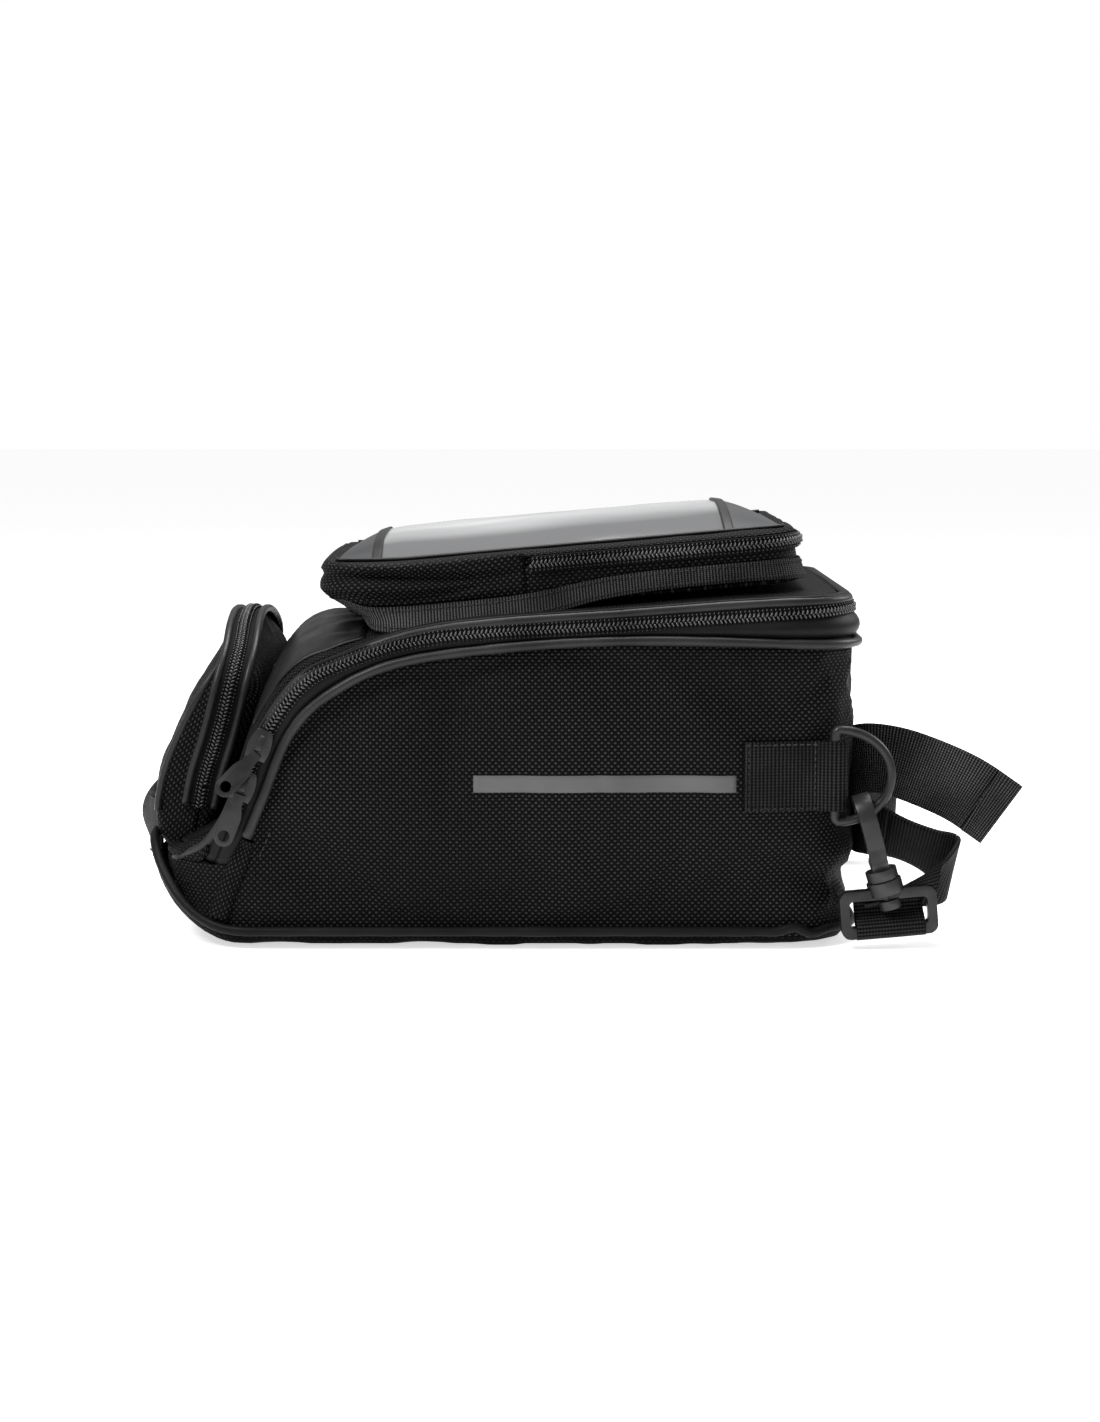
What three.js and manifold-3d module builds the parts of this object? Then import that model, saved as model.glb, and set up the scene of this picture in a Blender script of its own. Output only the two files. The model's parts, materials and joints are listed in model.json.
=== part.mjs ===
// Strap-mounted motorcycle tank bag with a hinged lid, a lift-off map pouch and a slope pocket.
// Millimetres. +X points toward the handlebars, -Y is the near side, +Z is up.
// The origin lies on the flat underside, in the middle of the bag body.
import * as THREE from 'three';
import * as BufferGeometryUtils from 'three/addons/utils/BufferGeometryUtils.js';
import Module from 'manifold-3d';

// --- driving dimensions -------------------------------------------------------------------------
const GAP = 0.35;                 // clearance between neighbouring pieces
const NEAR = -1;                  // sign of Y on the near side
const FAR = 1;

const HALF_WIDTH = 100;           // bag body, outer face of the side panels
const REAR_X = -146;
const FRONT_X = 144;
const FRONT_RADIUS = 28;          // plan radius of the forward corners
const REAR_RADIUS = 42;           // plan radius of the rider corners
const WALL = 4;                   // padded panel
const COIL_LAYER = 1.7;           // coil that stands on the outside of the zip tape
const COIL_HALF = 3.6;            // half width of a closed coil
const PIPING_RADIUS = 2;
const PIPING_OUTSET = 3.2;        // piping's centre line outside the panels' faces
const BELOW_SEAM = 34;            // height of the rider end panel's top edge

const BASE_SKIN = 3;
const FOAM = 3.5;
const STIFFENER = 1.5;

const WEBBING = 30;               // width of every strap
const WEBBING_THICK = 1.6;

const RING_X = 136;               // straight bar of the D-ring
const RING_Y = 102.3;
const RING_Z = 72;
const RING_WIRE = 2;              // wire radius
const RING_DEPTH = 22;            // bar to the crown of the bow, centre to centre
const RING_HALF_HEIGHT = 19;

const HOOK_X = 147.5;             // where the hook sits on the ring's wire
const HOOK_Z = RING_Z - RING_HALF_HEIGHT * Math.sqrt(1 - ((HOOK_X - RING_X) / RING_DEPTH) ** 2);
const HOOK_LEAN = THREE.MathUtils.degToRad(16);
const FRAME_ROCK = THREE.MathUtils.degToRad(11);

const POUCH_ORIGIN = [22, 0, 143.3];
const POUCH_TILT = THREE.MathUtils.degToRad(5);
const POUCH_REAR = -100;
const POUCH_FRONT = 102;
const POUCH_HALF_WIDTH = 84;
const POUCH_RADIUS = 22;
const POUCH_HEIGHT = 21;
const POUCH_WALL = 3;
const POUCH_ZIP = 15.5;           // height of the pouch's coil above its floor
const GRIP_THICK = 1.3;           // hook strip or loop strip
const POUCH_FOLD = -13;           // the zipped top folds about this line
const WINDOW_REAR = -76;
const WINDOW_FRONT = 73;
const WINDOW_HALF_WIDTH = 66;
const WINDOW_CROWN = 6;
const FOLD_ROOM = 6;              // width of the clear sheet that bends where the top folds
const VINYL_REAR = -93;
const VINYL_FRONT = 96;

const POCKET_HALF_WIDTH = 65;
const POCKET_WALL = 3;
const POCKET_FOLD_Z = 61;         // the pocket's front folds down about this line

// --- colours and finishes -----------------------------------------------------------------------
const finish = (color, roughness, metalness) =>
  new THREE.MeshStandardMaterial({ color, roughness, metalness });
const WOVEN = finish(0x0b0b0c, 0.85, 0);
const PIPING = finish(0x161617, 0.5, 0);
const TAPE = finish(0x0a0a0b, 0.9, 0);
const COIL = finish(0x101011, 0.35, 0);
const STRAP = finish(0x111112, 0.8, 0);
const METAL = finish(0x2b2b2d, 0.35, 0.8);
const PLASTIC = finish(0x232325, 0.45, 0);
const VINYL = finish(0x55575a, 0.4, 0);
const CLEAR = finish(0xc4c8cc, 0.1, 0);
const FOAM_FINISH = finish(0x2c2c2e, 0.95, 0);
const HOOK_PILE = finish(0x1b1b1c, 0.95, 0);

const wasm = await Module();
wasm.setup();

// --- solids: three.js geometry cut and joined by manifold ---------------------------------------
function toSolid(geometry) {
  const bare = geometry.clone();
  bare.deleteAttribute('normal');
  bare.deleteAttribute('uv');
  const merged = BufferGeometryUtils.mergeVertices(bare, 1e-4);
  return new wasm.Manifold(new wasm.Mesh({
    numProp: 3,
    vertProperties: Float32Array.from(merged.attributes.position.array),
    triVerts: Uint32Array.from(merged.index.array),
  }));
}

function toGeometry(solid) {
  const mesh = solid.getMesh();
  const geometry = new THREE.BufferGeometry();
  geometry.setAttribute('position', new THREE.BufferAttribute(mesh.vertProperties, 3));
  geometry.setIndex(new THREE.BufferAttribute(mesh.triVerts, 1));
  geometry.computeVertexNormals();
  return geometry;
}

function common(first, ...others) {
  return others.reduce((solid, other) => solid.intersect(other), first);
}

function part(name, shape, material) {
  const geometry = shape.isBufferGeometry ? shape : toGeometry(shape);
  const mesh = new THREE.Mesh(geometry, material);
  mesh.name = name;
  return mesh;
}

function shapeOf(points) {
  return new THREE.Shape(points.map(([x, y]) => new THREE.Vector2(x, y)));
}

// A side outline in X and Z, extruded across the bag from yLow to yHigh.
function across(shape, yLow, yHigh) {
  const geometry = new THREE.ExtrudeGeometry(shape, {
    depth: yHigh - yLow, bevelEnabled: false, curveSegments: 10,
  });
  geometry.rotateX(Math.PI / 2);
  geometry.translate(0, yHigh, 0);
  return geometry;
}

// A plan outline in X and Y, extruded from zLow to zHigh.
function upward(shape, zLow, zHigh) {
  const geometry = new THREE.ExtrudeGeometry(shape, {
    depth: zHigh - zLow, bevelEnabled: false, curveSegments: 7,
  });
  geometry.translate(0, 0, zLow);
  return geometry;
}

function box(xLow, xHigh, yLow, yHigh, zLow, zHigh) {
  const geometry = new THREE.BoxGeometry(xHigh - xLow, yHigh - yLow, zHigh - zLow);
  geometry.translate((xLow + xHigh) / 2, (yLow + yHigh) / 2, (zLow + zHigh) / 2);
  return geometry;
}

function upright(radius, zLow, zHigh, sides = 14) {
  const geometry = new THREE.CylinderGeometry(radius, radius, zHigh - zLow, sides);
  geometry.rotateX(Math.PI / 2);
  geometry.translate(0, 0, (zLow + zHigh) / 2);
  return geometry;
}

function tube(points, radius, steps, sides = 8) {
  const section = new THREE.Shape();
  for (let i = 0; i < sides; i += 1) {
    const angle = (2 * Math.PI * i) / sides;
    const point = [radius * Math.cos(angle), radius * Math.sin(angle)];
    if (i === 0) section.moveTo(...point);
    else section.lineTo(...point);
  }
  const path = new THREE.CatmullRomCurve3(points.map((p) => new THREE.Vector3(...p)), false, 'centripetal');
  return new THREE.ExtrudeGeometry(section, { steps, bevelEnabled: false, extrudePath: path });
}

// --- outlines -----------------------------------------------------------------------------------
function roundedPlan(xLow, xHigh, half, rearRadius, frontRadius) {
  const shape = new THREE.Shape();
  shape.moveTo(xLow + rearRadius, -half);
  shape.lineTo(xHigh - frontRadius, -half);
  shape.absarc(xHigh - frontRadius, -half + frontRadius, frontRadius, -Math.PI / 2, 0, false);
  shape.lineTo(xHigh, half - frontRadius);
  shape.absarc(xHigh - frontRadius, half - frontRadius, frontRadius, 0, Math.PI / 2, false);
  shape.lineTo(xLow + rearRadius, half);
  shape.absarc(xLow + rearRadius, half - rearRadius, rearRadius, Math.PI / 2, Math.PI, false);
  shape.lineTo(xLow, -half + rearRadius);
  shape.absarc(xLow + rearRadius, -half + rearRadius, rearRadius, Math.PI, 1.5 * Math.PI, false);
  return shape;
}

function bodyPlan(inset) {
  return roundedPlan(REAR_X + inset, FRONT_X - inset, HALF_WIDTH - inset,
    REAR_RADIUS - inset, FRONT_RADIUS - inset);
}

function pouchPlan(inset) {
  return roundedPlan(POUCH_REAR + inset, POUCH_FRONT - inset, POUCH_HALF_WIDTH - inset,
    POUCH_RADIUS - inset, POUCH_RADIUS - inset);
}

// An upright ring of one of the plans, between two insets.
function ring(plan, outerInset, innerInset, zLow, zHigh) {
  const outer = toSolid(upward(plan(outerInset), zLow, zHigh));
  return outer.subtract(toSolid(upward(plan(innerInset), zLow - 1, zHigh + 1)));
}

// A smooth side line through hand-chosen points, and on past the forward end at the same height.
function sideLine(points, count) {
  const curve = new THREE.SplineCurve(points.map(([x, z]) => new THREE.Vector2(x, z)));
  const line = curve.getPoints(count).map((p) => [p.x, p.y]);
  line.push([FRONT_X + 20, line[line.length - 1][1]]);
  return line;
}

// The same line moved sideways, to its left when positive.
function offsetLine(line, distance) {
  return line.map((point, i) => {
    const before = line[Math.max(i - 1, 0)];
    const after = line[Math.min(i + 1, line.length - 1)];
    const run = [after[0] - before[0], after[1] - before[1]];
    const length = Math.hypot(...run);
    return [point[0] - (run[1] / length) * distance, point[1] + (run[0] / length) * distance];
  });
}

function bandBetween(lower, upper) {
  return shapeOf([...lower, ...[...upper].reverse()]);
}

const LINE_STEPS = 16;
const ZIP_LINE = sideLine([[-122, 34.3], [-112, 59], [-101.5, 85], [-86, 107.5], [-69, 117.5],
  [-30, 128.6], [50, 134], [FRONT_X, 139.8]], LINE_STEPS);
const SEAM_LINE = sideLine([[-112.5, 34.3], [-101, 62], [-89.5, 89], [-74, 105], [-46, 118.3],
  [1, 125], [58, 127.7], [FRONT_X, 125.6]], LINE_STEPS);
const LID_LINE = sideLine([[-126.5, 36.3], [-116.5, 61], [-106, 87], [-90, 110.5], [-71, 121.5],
  [-30, 134.5], [50, 141.2], [107, 145.3], [FRONT_X, 146]], LINE_STEPS);

// Underside of the bag: flat, then rising under the rider end.
function undersideLine(rise) {
  const flat = [FRONT_X + 10, rise];
  const curve = new THREE.QuadraticBezierCurve(new THREE.Vector2(-104, rise),
    new THREE.Vector2(-134, rise), new THREE.Vector2(REAR_X - 4, 23 + rise));
  return [...curve.getPoints(8).reverse().map((p) => [p.x, p.y]), flat];
}

// --- bag body -----------------------------------------------------------------------------------
function basePieces() {
  const band = across(bandBetween(undersideLine(0), undersideLine(BASE_SKIN)), -HALF_WIDTH, HALF_WIDTH);
  const skin = common(toSolid(band), toSolid(upward(bodyPlan(0), -5, 60)));
  const foamLow = BASE_SKIN + GAP;
  const sheet = roundedPlan(-98, FRONT_X - 12, HALF_WIDTH - 12, 20, 20);
  const stiffenerLow = foamLow + FOAM + GAP;
  return [
    part('base_panel', skin, WOVEN),
    part('base_foam', upward(sheet, foamLow, foamLow + FOAM), FOAM_FINISH),
    part('base_stiffener', upward(sheet, stiffenerLow, stiffenerLow + STIFFENER), PLASTIC),
  ];
}

function wallPieces() {
  const top = offsetLine(SEAM_LINE, -GAP / 2);
  const profile = shapeOf([...undersideLine(BASE_SKIN + GAP), ...[...top].reverse(),
    [top[0][0], BELOW_SEAM], [REAR_X - 4, BELOW_SEAM]]);
  const walls = common(ring(bodyPlan, 0, WALL, 0, 160), toSolid(across(profile, -120, 120)));
  const rearCut = -117;
  const frontCut = FRONT_X - FRONT_RADIUS - 2;
  const cut = (xLow, xHigh, yLow, yHigh) => walls.intersect(toSolid(box(xLow, xHigh, yLow, yHigh, -1, 200)));
  return [
    part('near_side_panel', cut(rearCut + GAP, frontCut - GAP, -120, 0), WOVEN),
    part('far_side_panel', cut(rearCut + GAP, frontCut - GAP, 0, 120), WOVEN),
    part('forward_end_panel', cut(frontCut, 200, -120, 120), WOVEN),
    part('rider_end_panel', cut(-200, rearCut, -120, 120), WOVEN),
  ];
}

// Part of the wall between two side lines: both sides of the bag and its forward end.
function wallBand(lower, upper, outerInset, innerInset) {
  const band = toSolid(across(bandBetween(lower, upper), -120, 120));
  const room = toSolid(box(-130, 200, -120, 120, BELOW_SEAM + GAP, 200));
  return common(ring(bodyPlan, outerInset, innerInset, 0, 170), band, room);
}

function zipPieces() {
  const tapeInset = COIL_LAYER + GAP;
  const half = GAP / 2;
  return {
    lower: [
      part('lower_zip_tape',
        wallBand(offsetLine(SEAM_LINE, half), offsetLine(ZIP_LINE, -half), tapeInset, WALL), TAPE),
      part('main_coil_lower',
        wallBand(offsetLine(ZIP_LINE, -COIL_HALF), offsetLine(ZIP_LINE, -half), 0, COIL_LAYER), COIL),
    ],
    upper: [
      part('upper_zip_tape',
        wallBand(offsetLine(ZIP_LINE, half), LID_LINE, tapeInset, WALL), TAPE),
      part('main_coil_upper',
        wallBand(offsetLine(ZIP_LINE, half), offsetLine(ZIP_LINE, COIL_HALF), 0, COIL_LAYER), COIL),
    ],
  };
}

// A route that follows a side line on one side, rounds the forward end and comes back on the other.
function horseshoe(line, outset, lift) {
  const half = HALF_WIDTH + outset;
  const front = FRONT_X + outset;
  const radius = FRONT_RADIUS + outset;
  const lifted = offsetLine(line, lift);
  const straight = lifted.filter(([x]) => x < front - radius - 6);
  const end = lifted[lifted.length - 1][1];
  const corner = [0, 0.25, 0.5, 0.75, 1].map((t) => {
    const angle = (t * Math.PI) / 2;
    return [front - radius + radius * Math.sin(angle), half - radius + radius * Math.cos(angle), end];
  });
  const farSide = [...straight.map(([x, z]) => [x, half, z]), ...corner];
  return [...farSide.map(([x, y, z]) => [x, -y, z]), [front, 0, end], ...[...farSide].reverse()];
}

function basePipingRoute() {
  const outline = bodyPlan(-PIPING_OUTSET).getSpacedPoints(64);
  const farHalf = outline.filter((p) => p.y > 1);
  const nearHalf = [...farHalf].reverse().map((p) => new THREE.Vector2(p.x, -p.y));
  const underside = undersideLine(6);
  const heightAt = (x) => {
    const next = underside.findIndex(([ux]) => ux > x);
    if (next < 1) return underside[0][1];
    const [a, b] = [underside[next - 1], underside[next]];
    return a[1] + ((b[1] - a[1]) * (x - a[0])) / (b[0] - a[0]);
  };
  return [...nearHalf, ...farHalf].map((p) => [p.x, p.y, heightAt(p.x)]);
}

function pipingPieces() {
  const above = PIPING_RADIUS + 2 * GAP;
  return {
    bag: [
      part('lower_piping', tube(basePipingRoute(), PIPING_RADIUS, 56, 6), PIPING),
      part('upper_piping', tube(horseshoe(SEAM_LINE, PIPING_OUTSET, 0), PIPING_RADIUS, 44, 6), PIPING),
    ],
    lid: [
      part('lid_piping', tube(horseshoe(LID_LINE, -PIPING_RADIUS, above), PIPING_RADIUS, 44, 6), PIPING),
    ],
  };
}

// --- zip slider and its pull --------------------------------------------------------------------
// Local frame: +x from the crown toward the pull, z out of the cloth, origin on the coil's surface.
const SLIDER_THICK = 2.6;
const PULL_THICK = 1.6;
const PULL_HALF = 4.1;
const PULL_PIVOT = [4.2, 0, SLIDER_THICK + 1.6];

function sliderGeometry() {
  const crown = new THREE.Shape();
  crown.moveTo(-6.5, -3.2);
  crown.quadraticCurveTo(-7.2, 0, -6.5, 3.2);
  crown.quadraticCurveTo(-1, 5.8, 6, 4.2);
  crown.lineTo(6, -4.2);
  crown.quadraticCurveTo(-1, -5.8, -6.5, -3.2);
  const plate = toSolid(upward(crown, GAP, SLIDER_THICK));
  const bail = new THREE.Shape();
  bail.moveTo(-5, SLIDER_THICK - 0.5);
  bail.quadraticCurveTo(-3, 5.6, 1.5, 5.4);
  bail.lineTo(2.2, 4.2);
  bail.quadraticCurveTo(-2, 4.4, -3, SLIDER_THICK - 0.5);
  return plate.add(toSolid(across(bail, -1.1, 1.1)));
}

function pullGeometry(length) {
  const blade = new THREE.Shape();
  blade.moveTo(-1, -2.2);
  blade.lineTo(4, -2.4);
  blade.quadraticCurveTo(7, -PULL_HALF, 10, -PULL_HALF);
  blade.lineTo(length - PULL_HALF, -PULL_HALF);
  blade.absarc(length - PULL_HALF, 0, PULL_HALF, -Math.PI / 2, Math.PI / 2, false);
  blade.lineTo(10, PULL_HALF);
  blade.quadraticCurveTo(7, PULL_HALF, 4, 2.4);
  blade.lineTo(-1, 2.2);
  const hole = new THREE.Path();
  hole.absarc(length - PULL_HALF - 0.4, 0, 2.4, 0, 2 * Math.PI, true);
  blade.holes.push(hole);
  return upward(blade, -PULL_THICK / 2, PULL_THICK / 2);
}

// Places a slider's local frame on an upright cloth face. angle: the pull's direction in X and Z.
function onFlank(side, x, y, z, angle) {
  const along = new THREE.Vector3(Math.cos(angle), 0, Math.sin(angle));
  const out = new THREE.Vector3(0, side, 0);
  const crosswise = new THREE.Vector3().crossVectors(out, along);
  const group = new THREE.Group();
  group.applyMatrix4(new THREE.Matrix4().makeBasis(along, crosswise, out));
  group.position.set(x, side * y, z);
  return group;
}

function zipSlider(name, place, length, twist = 0, lift = 0) {
  place.add(part(`${name}_slider`, sliderGeometry(), METAL));
  const pull = part(`${name}_pull`, pullGeometry(length), METAL);
  pull.position.set(...PULL_PIVOT);
  pull.rotation.set(0, -lift, twist, 'ZYX');
  place.add(pull);
  return place;
}

// --- webbing tab, D-ring and swivel hook --------------------------------------------------------
function ringTab(side) {
  const y = side * RING_Y;
  const low = Math.min(side * (HALF_WIDTH + GAP), side * (HALF_WIDTH + GAP + 2 * WEBBING_THICK));
  const flat = toSolid(box(95, RING_X - 1, low, low + 2 * WEBBING_THICK, 58, 87));
  const eye = upright(RING_WIRE + GAP + WEBBING_THICK, 58, 87);
  eye.translate(RING_X, y, 0);
  const bore = upright(RING_WIRE + GAP, 50, 95);
  bore.translate(RING_X, y, 0);
  return flat.add(toSolid(eye)).subtract(toSolid(bore));
}

function dRing(side) {
  const bow = [];
  for (let i = 0; i <= 12; i += 1) {
    const angle = -Math.PI / 2 + (Math.PI * i) / 12;
    bow.push([RING_X + RING_DEPTH * Math.cos(angle), side * RING_Y, RING_Z + RING_HALF_HEIGHT * Math.sin(angle)]);
  }
  const bar = upright(RING_WIRE, RING_Z - RING_HALF_HEIGHT - 1.2, RING_Z + RING_HALF_HEIGHT + 1.2, 12);
  bar.translate(RING_X, side * RING_Y, 0);
  return toSolid(tube(bow, RING_WIRE - 0.02, 16, 8)).add(toSolid(bar));
}

// Hook local frame: origin in the middle of the ring's wire, shank along -z, u points away from the bag.
function hookOutline(side) {
  const u = (value) => value * side;
  const outline = new THREE.Shape();
  outline.moveTo(u(-3.8), -25);
  outline.lineTo(u(3.8), -25);
  outline.quadraticCurveTo(u(4.5), -19, u(10.5), -13);
  outline.lineTo(u(10.5), -1.5);
  outline.absarc(0, -1.5, 10.5, side > 0 ? 0 : Math.PI, side > 0 ? Math.PI : 0, side < 0);
  outline.lineTo(u(-10.5), -3.2);
  outline.lineTo(u(-6), -3.2);
  outline.absarc(0, -2.6, 6, side > 0 ? Math.PI : 0, side > 0 ? 0 : Math.PI, side > 0);
  outline.lineTo(u(6), -12);
  outline.quadraticCurveTo(u(4), -18.5, u(-3.5), -18.5);
  outline.quadraticCurveTo(u(-4.4), -20.6, u(-7.6), -20.6);
  outline.quadraticCurveTo(u(-6), -23, u(-3.8), -25);
  return outline;
}

function alongX(shape, half) {
  const geometry = new THREE.ExtrudeGeometry(shape, { depth: 2 * half, bevelEnabled: false, curveSegments: 8 });
  geometry.rotateX(Math.PI / 2);
  geometry.rotateZ(Math.PI / 2);
  geometry.translate(-half, 0, 0);
  return geometry;
}

function hookBody(side) {
  const stem = toSolid(upright(2.6, -38, -26));
  const head = toSolid(upright(4.6, -40.6, -36.8));
  const collar = toSolid(upright(6.6, -28, -23.6));
  return toSolid(alongX(hookOutline(side), 3.5)).add(collar).add(stem).add(head);
}

function hookGate(side) {
  const u = (value) => value * side;
  const bar = new THREE.Shape();
  bar.moveTo(u(-9.6), -17.8);
  bar.lineTo(u(-9.6), -3.6);
  bar.lineTo(u(-6.6), -3.6);
  bar.lineTo(u(-5.6), -17);
  bar.quadraticCurveTo(u(-7.4), -20.4, u(-9.6), -17.8);
  return alongX(bar, 2.6);
}

function hookFrame() {
  const rim = roundedPlan(-20, 20, 10, 4, 4);
  const slot = roundedPlan(-16.2, 16.2, 5.6, 2, 2);
  const outer = across(rim, -2.9, 2.9);
  outer.translate(0, 0, -42);
  const inner = across(slot, -4, 4);
  inner.translate(0, 0, -41.8);
  const frame = toSolid(outer).subtract(toSolid(inner));
  const rocked = frame.translate([0, 0, 34]).rotate([0, THREE.MathUtils.radToDeg(FRAME_ROCK), 0])
    .translate([0, 0, -34]);
  const hub = toSolid(upright(7.4, -34, -28 - GAP));
  const bore = toSolid(upright(2.6 + GAP, -60, 0));
  const headRoom = toSolid(upright(4.6 + GAP, -41.2, -36.8 + GAP));
  return rocked.add(hub).subtract(bore).subtract(headRoom);
}

function swivelHook(name, side) {
  const group = new THREE.Group();
  group.add(part(`${name}_hook_body`, hookBody(side), METAL));
  group.add(part(`${name}_hook_gate`, hookGate(side), METAL));
  group.add(part(`${name}_hook_frame`, hookFrame(), METAL));
  group.rotation.y = -HOOK_LEAN;
  group.position.set(HOOK_X, side * RING_Y, HOOK_Z);
  return group;
}

// --- harness strap ------------------------------------------------------------------------------
// A strap standing on edge: a plan route, and the height of its middle at each route point.
function edgeStrap(route, heights) {
  const half = WEBBING_THICK / 2;
  const outline = [...offsetLine(route, half), ...offsetLine(route, -half).reverse()];
  const geometry = upward(shapeOf(outline), -WEBBING / 2, WEBBING / 2);
  const position = geometry.attributes.position;
  for (let i = 0; i < position.count; i += 1) {
    let nearest = 0;
    let best = Infinity;
    route.forEach(([x, y], k) => {
      const distance = Math.hypot(position.getX(i) - x, position.getY(i) - y);
      if (distance < best) {
        best = distance;
        nearest = k;
      }
    });
    position.setZ(i, position.getZ(i) + heights[nearest]);
  }
  return geometry;
}

const STRAP_X = FRONT_X + 1.6;
const TAIL_ROUTE = [[STRAP_X, -22], [STRAP_X, -50], [151, -62], [160, -69], [172, -73], [195, -77], [217, -80]];
const TAIL_HEIGHTS = [60, 68, 70, 69, 66, 58, 50];
const LOOP_ROUTE = [[STRAP_X + 2.4, 22], [STRAP_X + 2.4, 46], [154, 60], [168, 74], [182, 84], [188, 90], [189, 96]];
const LOOP_HEIGHTS = [50, 42, 38, 35, 31, 28, 26];

function strapPieces() {
  const keeperPlate = toSolid(box(STRAP_X + 2.4, STRAP_X + 5.2, -19, 19, 37, 75));
  const slots = [-1, 1].map((side) => toSolid(box(STRAP_X, STRAP_X + 8,
    Math.min(side * 4, side * 12), Math.max(side * 4, side * 12), 40.5, 71.5)));
  const nearLoop = LOOP_ROUTE.map(([x, y]) => [x, -y]);
  return [
    part('strap_keeper', slots.reduce((plate, slot) => plate.subtract(slot), keeperPlate), PLASTIC),
    part('strap_middle', box(STRAP_X - 0.8, STRAP_X + 0.8, -18, 18, 41, 71), STRAP),
    part('strap_tail', edgeStrap(TAIL_ROUTE, TAIL_HEIGHTS), STRAP),
    part('near_strap_loop', edgeStrap(nearLoop, LOOP_HEIGHTS), STRAP),
    part('far_strap_loop', edgeStrap(LOOP_ROUTE, LOOP_HEIGHTS), STRAP),
  ];
}

// --- lid ----------------------------------------------------------------------------------------
function lidPanel() {
  const heel = [[REAR_X + 0.5, 37], [-121.5, 48.5]];
  const outer = [...heel, ...LID_LINE.filter(([, z]) => z > 52)];
  const inner = offsetLine(outer, -WALL);
  inner[0] = [REAR_X + 2, 36.6];
  const band = toSolid(across(bandBetween(inner, outer), -120, 120));
  return common(band, toSolid(upward(bodyPlan(WALL + GAP), 0, 170)));
}

// Hook strips on the lid and loop strips under the pouch, in the pouch's frame. low: their underside.
function gripStrips(name, low) {
  return [['near', NEAR], ['far', FAR]].map(([sideName, side]) => {
    const strip = box(-30, 80, side * 45 - 12.5, side * 45 + 12.5, low, low + GRIP_THICK);
    return part(`${sideName}_${name}`, strip, HOOK_PILE);
  });
}

// --- slope pocket -------------------------------------------------------------------------------
const POCKET_OUTLINE = [[-147, 39.5], [-157, 46], [-156.5, 54], [-154, 67], [-147, 86], [-134, 109],
  [-121, 130], [-116, 134], [-109, 132], [-104, 118], [-103.5, 100], [-107.2, 88.5], [-123, 51]];
const POCKET_INSIDE = [[-147.5, 43], [-153.6, 47.5], [-153.2, 54], [-151, 66], [-144.2, 84.6], [-131.4, 107.4],
  [-118.6, 128], [-115.4, 130.8], [-111.2, 129.6], [-107.2, 117.5], [-106.8, 100], [-110.2, 89.6], [-125, 54]];
const POCKET_ZIP = [[-131.5, POCKET_FOLD_Z], [-128.5, 80], [-124, 98.5], [-118, 118], [-113.5, 132], [-111.5, 142]];

function grown(outline, distance) {
  const count = outline.length;
  return outline.map((point, i) => {
    const before = outline[(i + count - 1) % count];
    const after = outline[(i + 1) % count];
    const run = [after[0] - before[0], after[1] - before[1]];
    const length = Math.hypot(...run);
    return [point[0] - (run[1] / length) * distance, point[1] + (run[0] / length) * distance];
  });
}

function pocketPieces() {
  const solid = (outline, half) => toSolid(across(shapeOf(outline), -half, half));
  const skin = solid(POCKET_OUTLINE, POCKET_HALF_WIDTH).subtract(
    solid(POCKET_INSIDE, POCKET_HALF_WIDTH - POCKET_WALL));
  const half = GAP / 2;
  const ahead = [...offsetLine(POCKET_ZIP, half), [-200, 142], [-200, POCKET_FOLD_Z + half]];
  const behind = [...offsetLine(POCKET_ZIP, -half), [-60, 142], [-60, 0], [-200, 0], [-200, POCKET_FOLD_Z - half]];
  const collar = solid(grown(POCKET_OUTLINE, GAP + COIL_LAYER), POCKET_HALF_WIDTH + GAP + COIL_LAYER)
    .subtract(solid(grown(POCKET_OUTLINE, GAP), POCKET_HALF_WIDTH + GAP));
  const coil = (a, b) => {
    const strip = bandBetween(offsetLine(POCKET_ZIP, a), offsetLine(POCKET_ZIP, b));
    return common(collar, toSolid(across(strip, -90, 90)), toSolid(box(-200, 0, -90, 90, POCKET_FOLD_Z + 1, 200)));
  };
  return {
    shell: part('pocket_shell', skin.intersect(solid(behind, 90)), WOVEN),
    flap: part('pocket_flap', skin.intersect(solid(ahead, 90)), WOVEN),
    coilShell: part('pocket_coil_inner', coil(-2.8, -half), COIL),
    coilFlap: part('pocket_coil_outer', coil(half, 2.8), COIL),
  };
}

function grabHandle() {
  const route = [[-158.2, -56], [-158.6, -44], [-163, -30], [-167.5, -14], [-168.6, 0],
    [-167.5, 14], [-163, 30], [-158.6, 44], [-158.2, 56]];
  const half = 1.2;
  const outline = [...offsetLine(route, half), ...offsetLine(route, -half).reverse()];
  return upward(shapeOf(outline.map(([x, y]) => [x - half, y])), 30, 59);
}

// --- map pouch, in its own tilted frame ---------------------------------------------------------
function crownedSheet(xLow, xHigh) {
  const sheet = new THREE.Shape();
  const half = WINDOW_HALF_WIDTH - GAP;
  const low = POUCH_HEIGHT - 1.6;
  sheet.moveTo(-half, low);
  sheet.quadraticCurveTo(0, low + 2 * WINDOW_CROWN, half, low);
  sheet.lineTo(half, low + 1.4);
  sheet.quadraticCurveTo(0, low + 1.6 + 2 * WINDOW_CROWN, -half, low + 1.4);
  const geometry = new THREE.ExtrudeGeometry(sheet, {
    depth: xHigh - xLow, bevelEnabled: false, curveSegments: 12,
  });
  geometry.rotateX(Math.PI / 2);
  geometry.rotateZ(Math.PI / 2);
  geometry.translate(xLow, 0, 0);
  return geometry;
}

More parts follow.
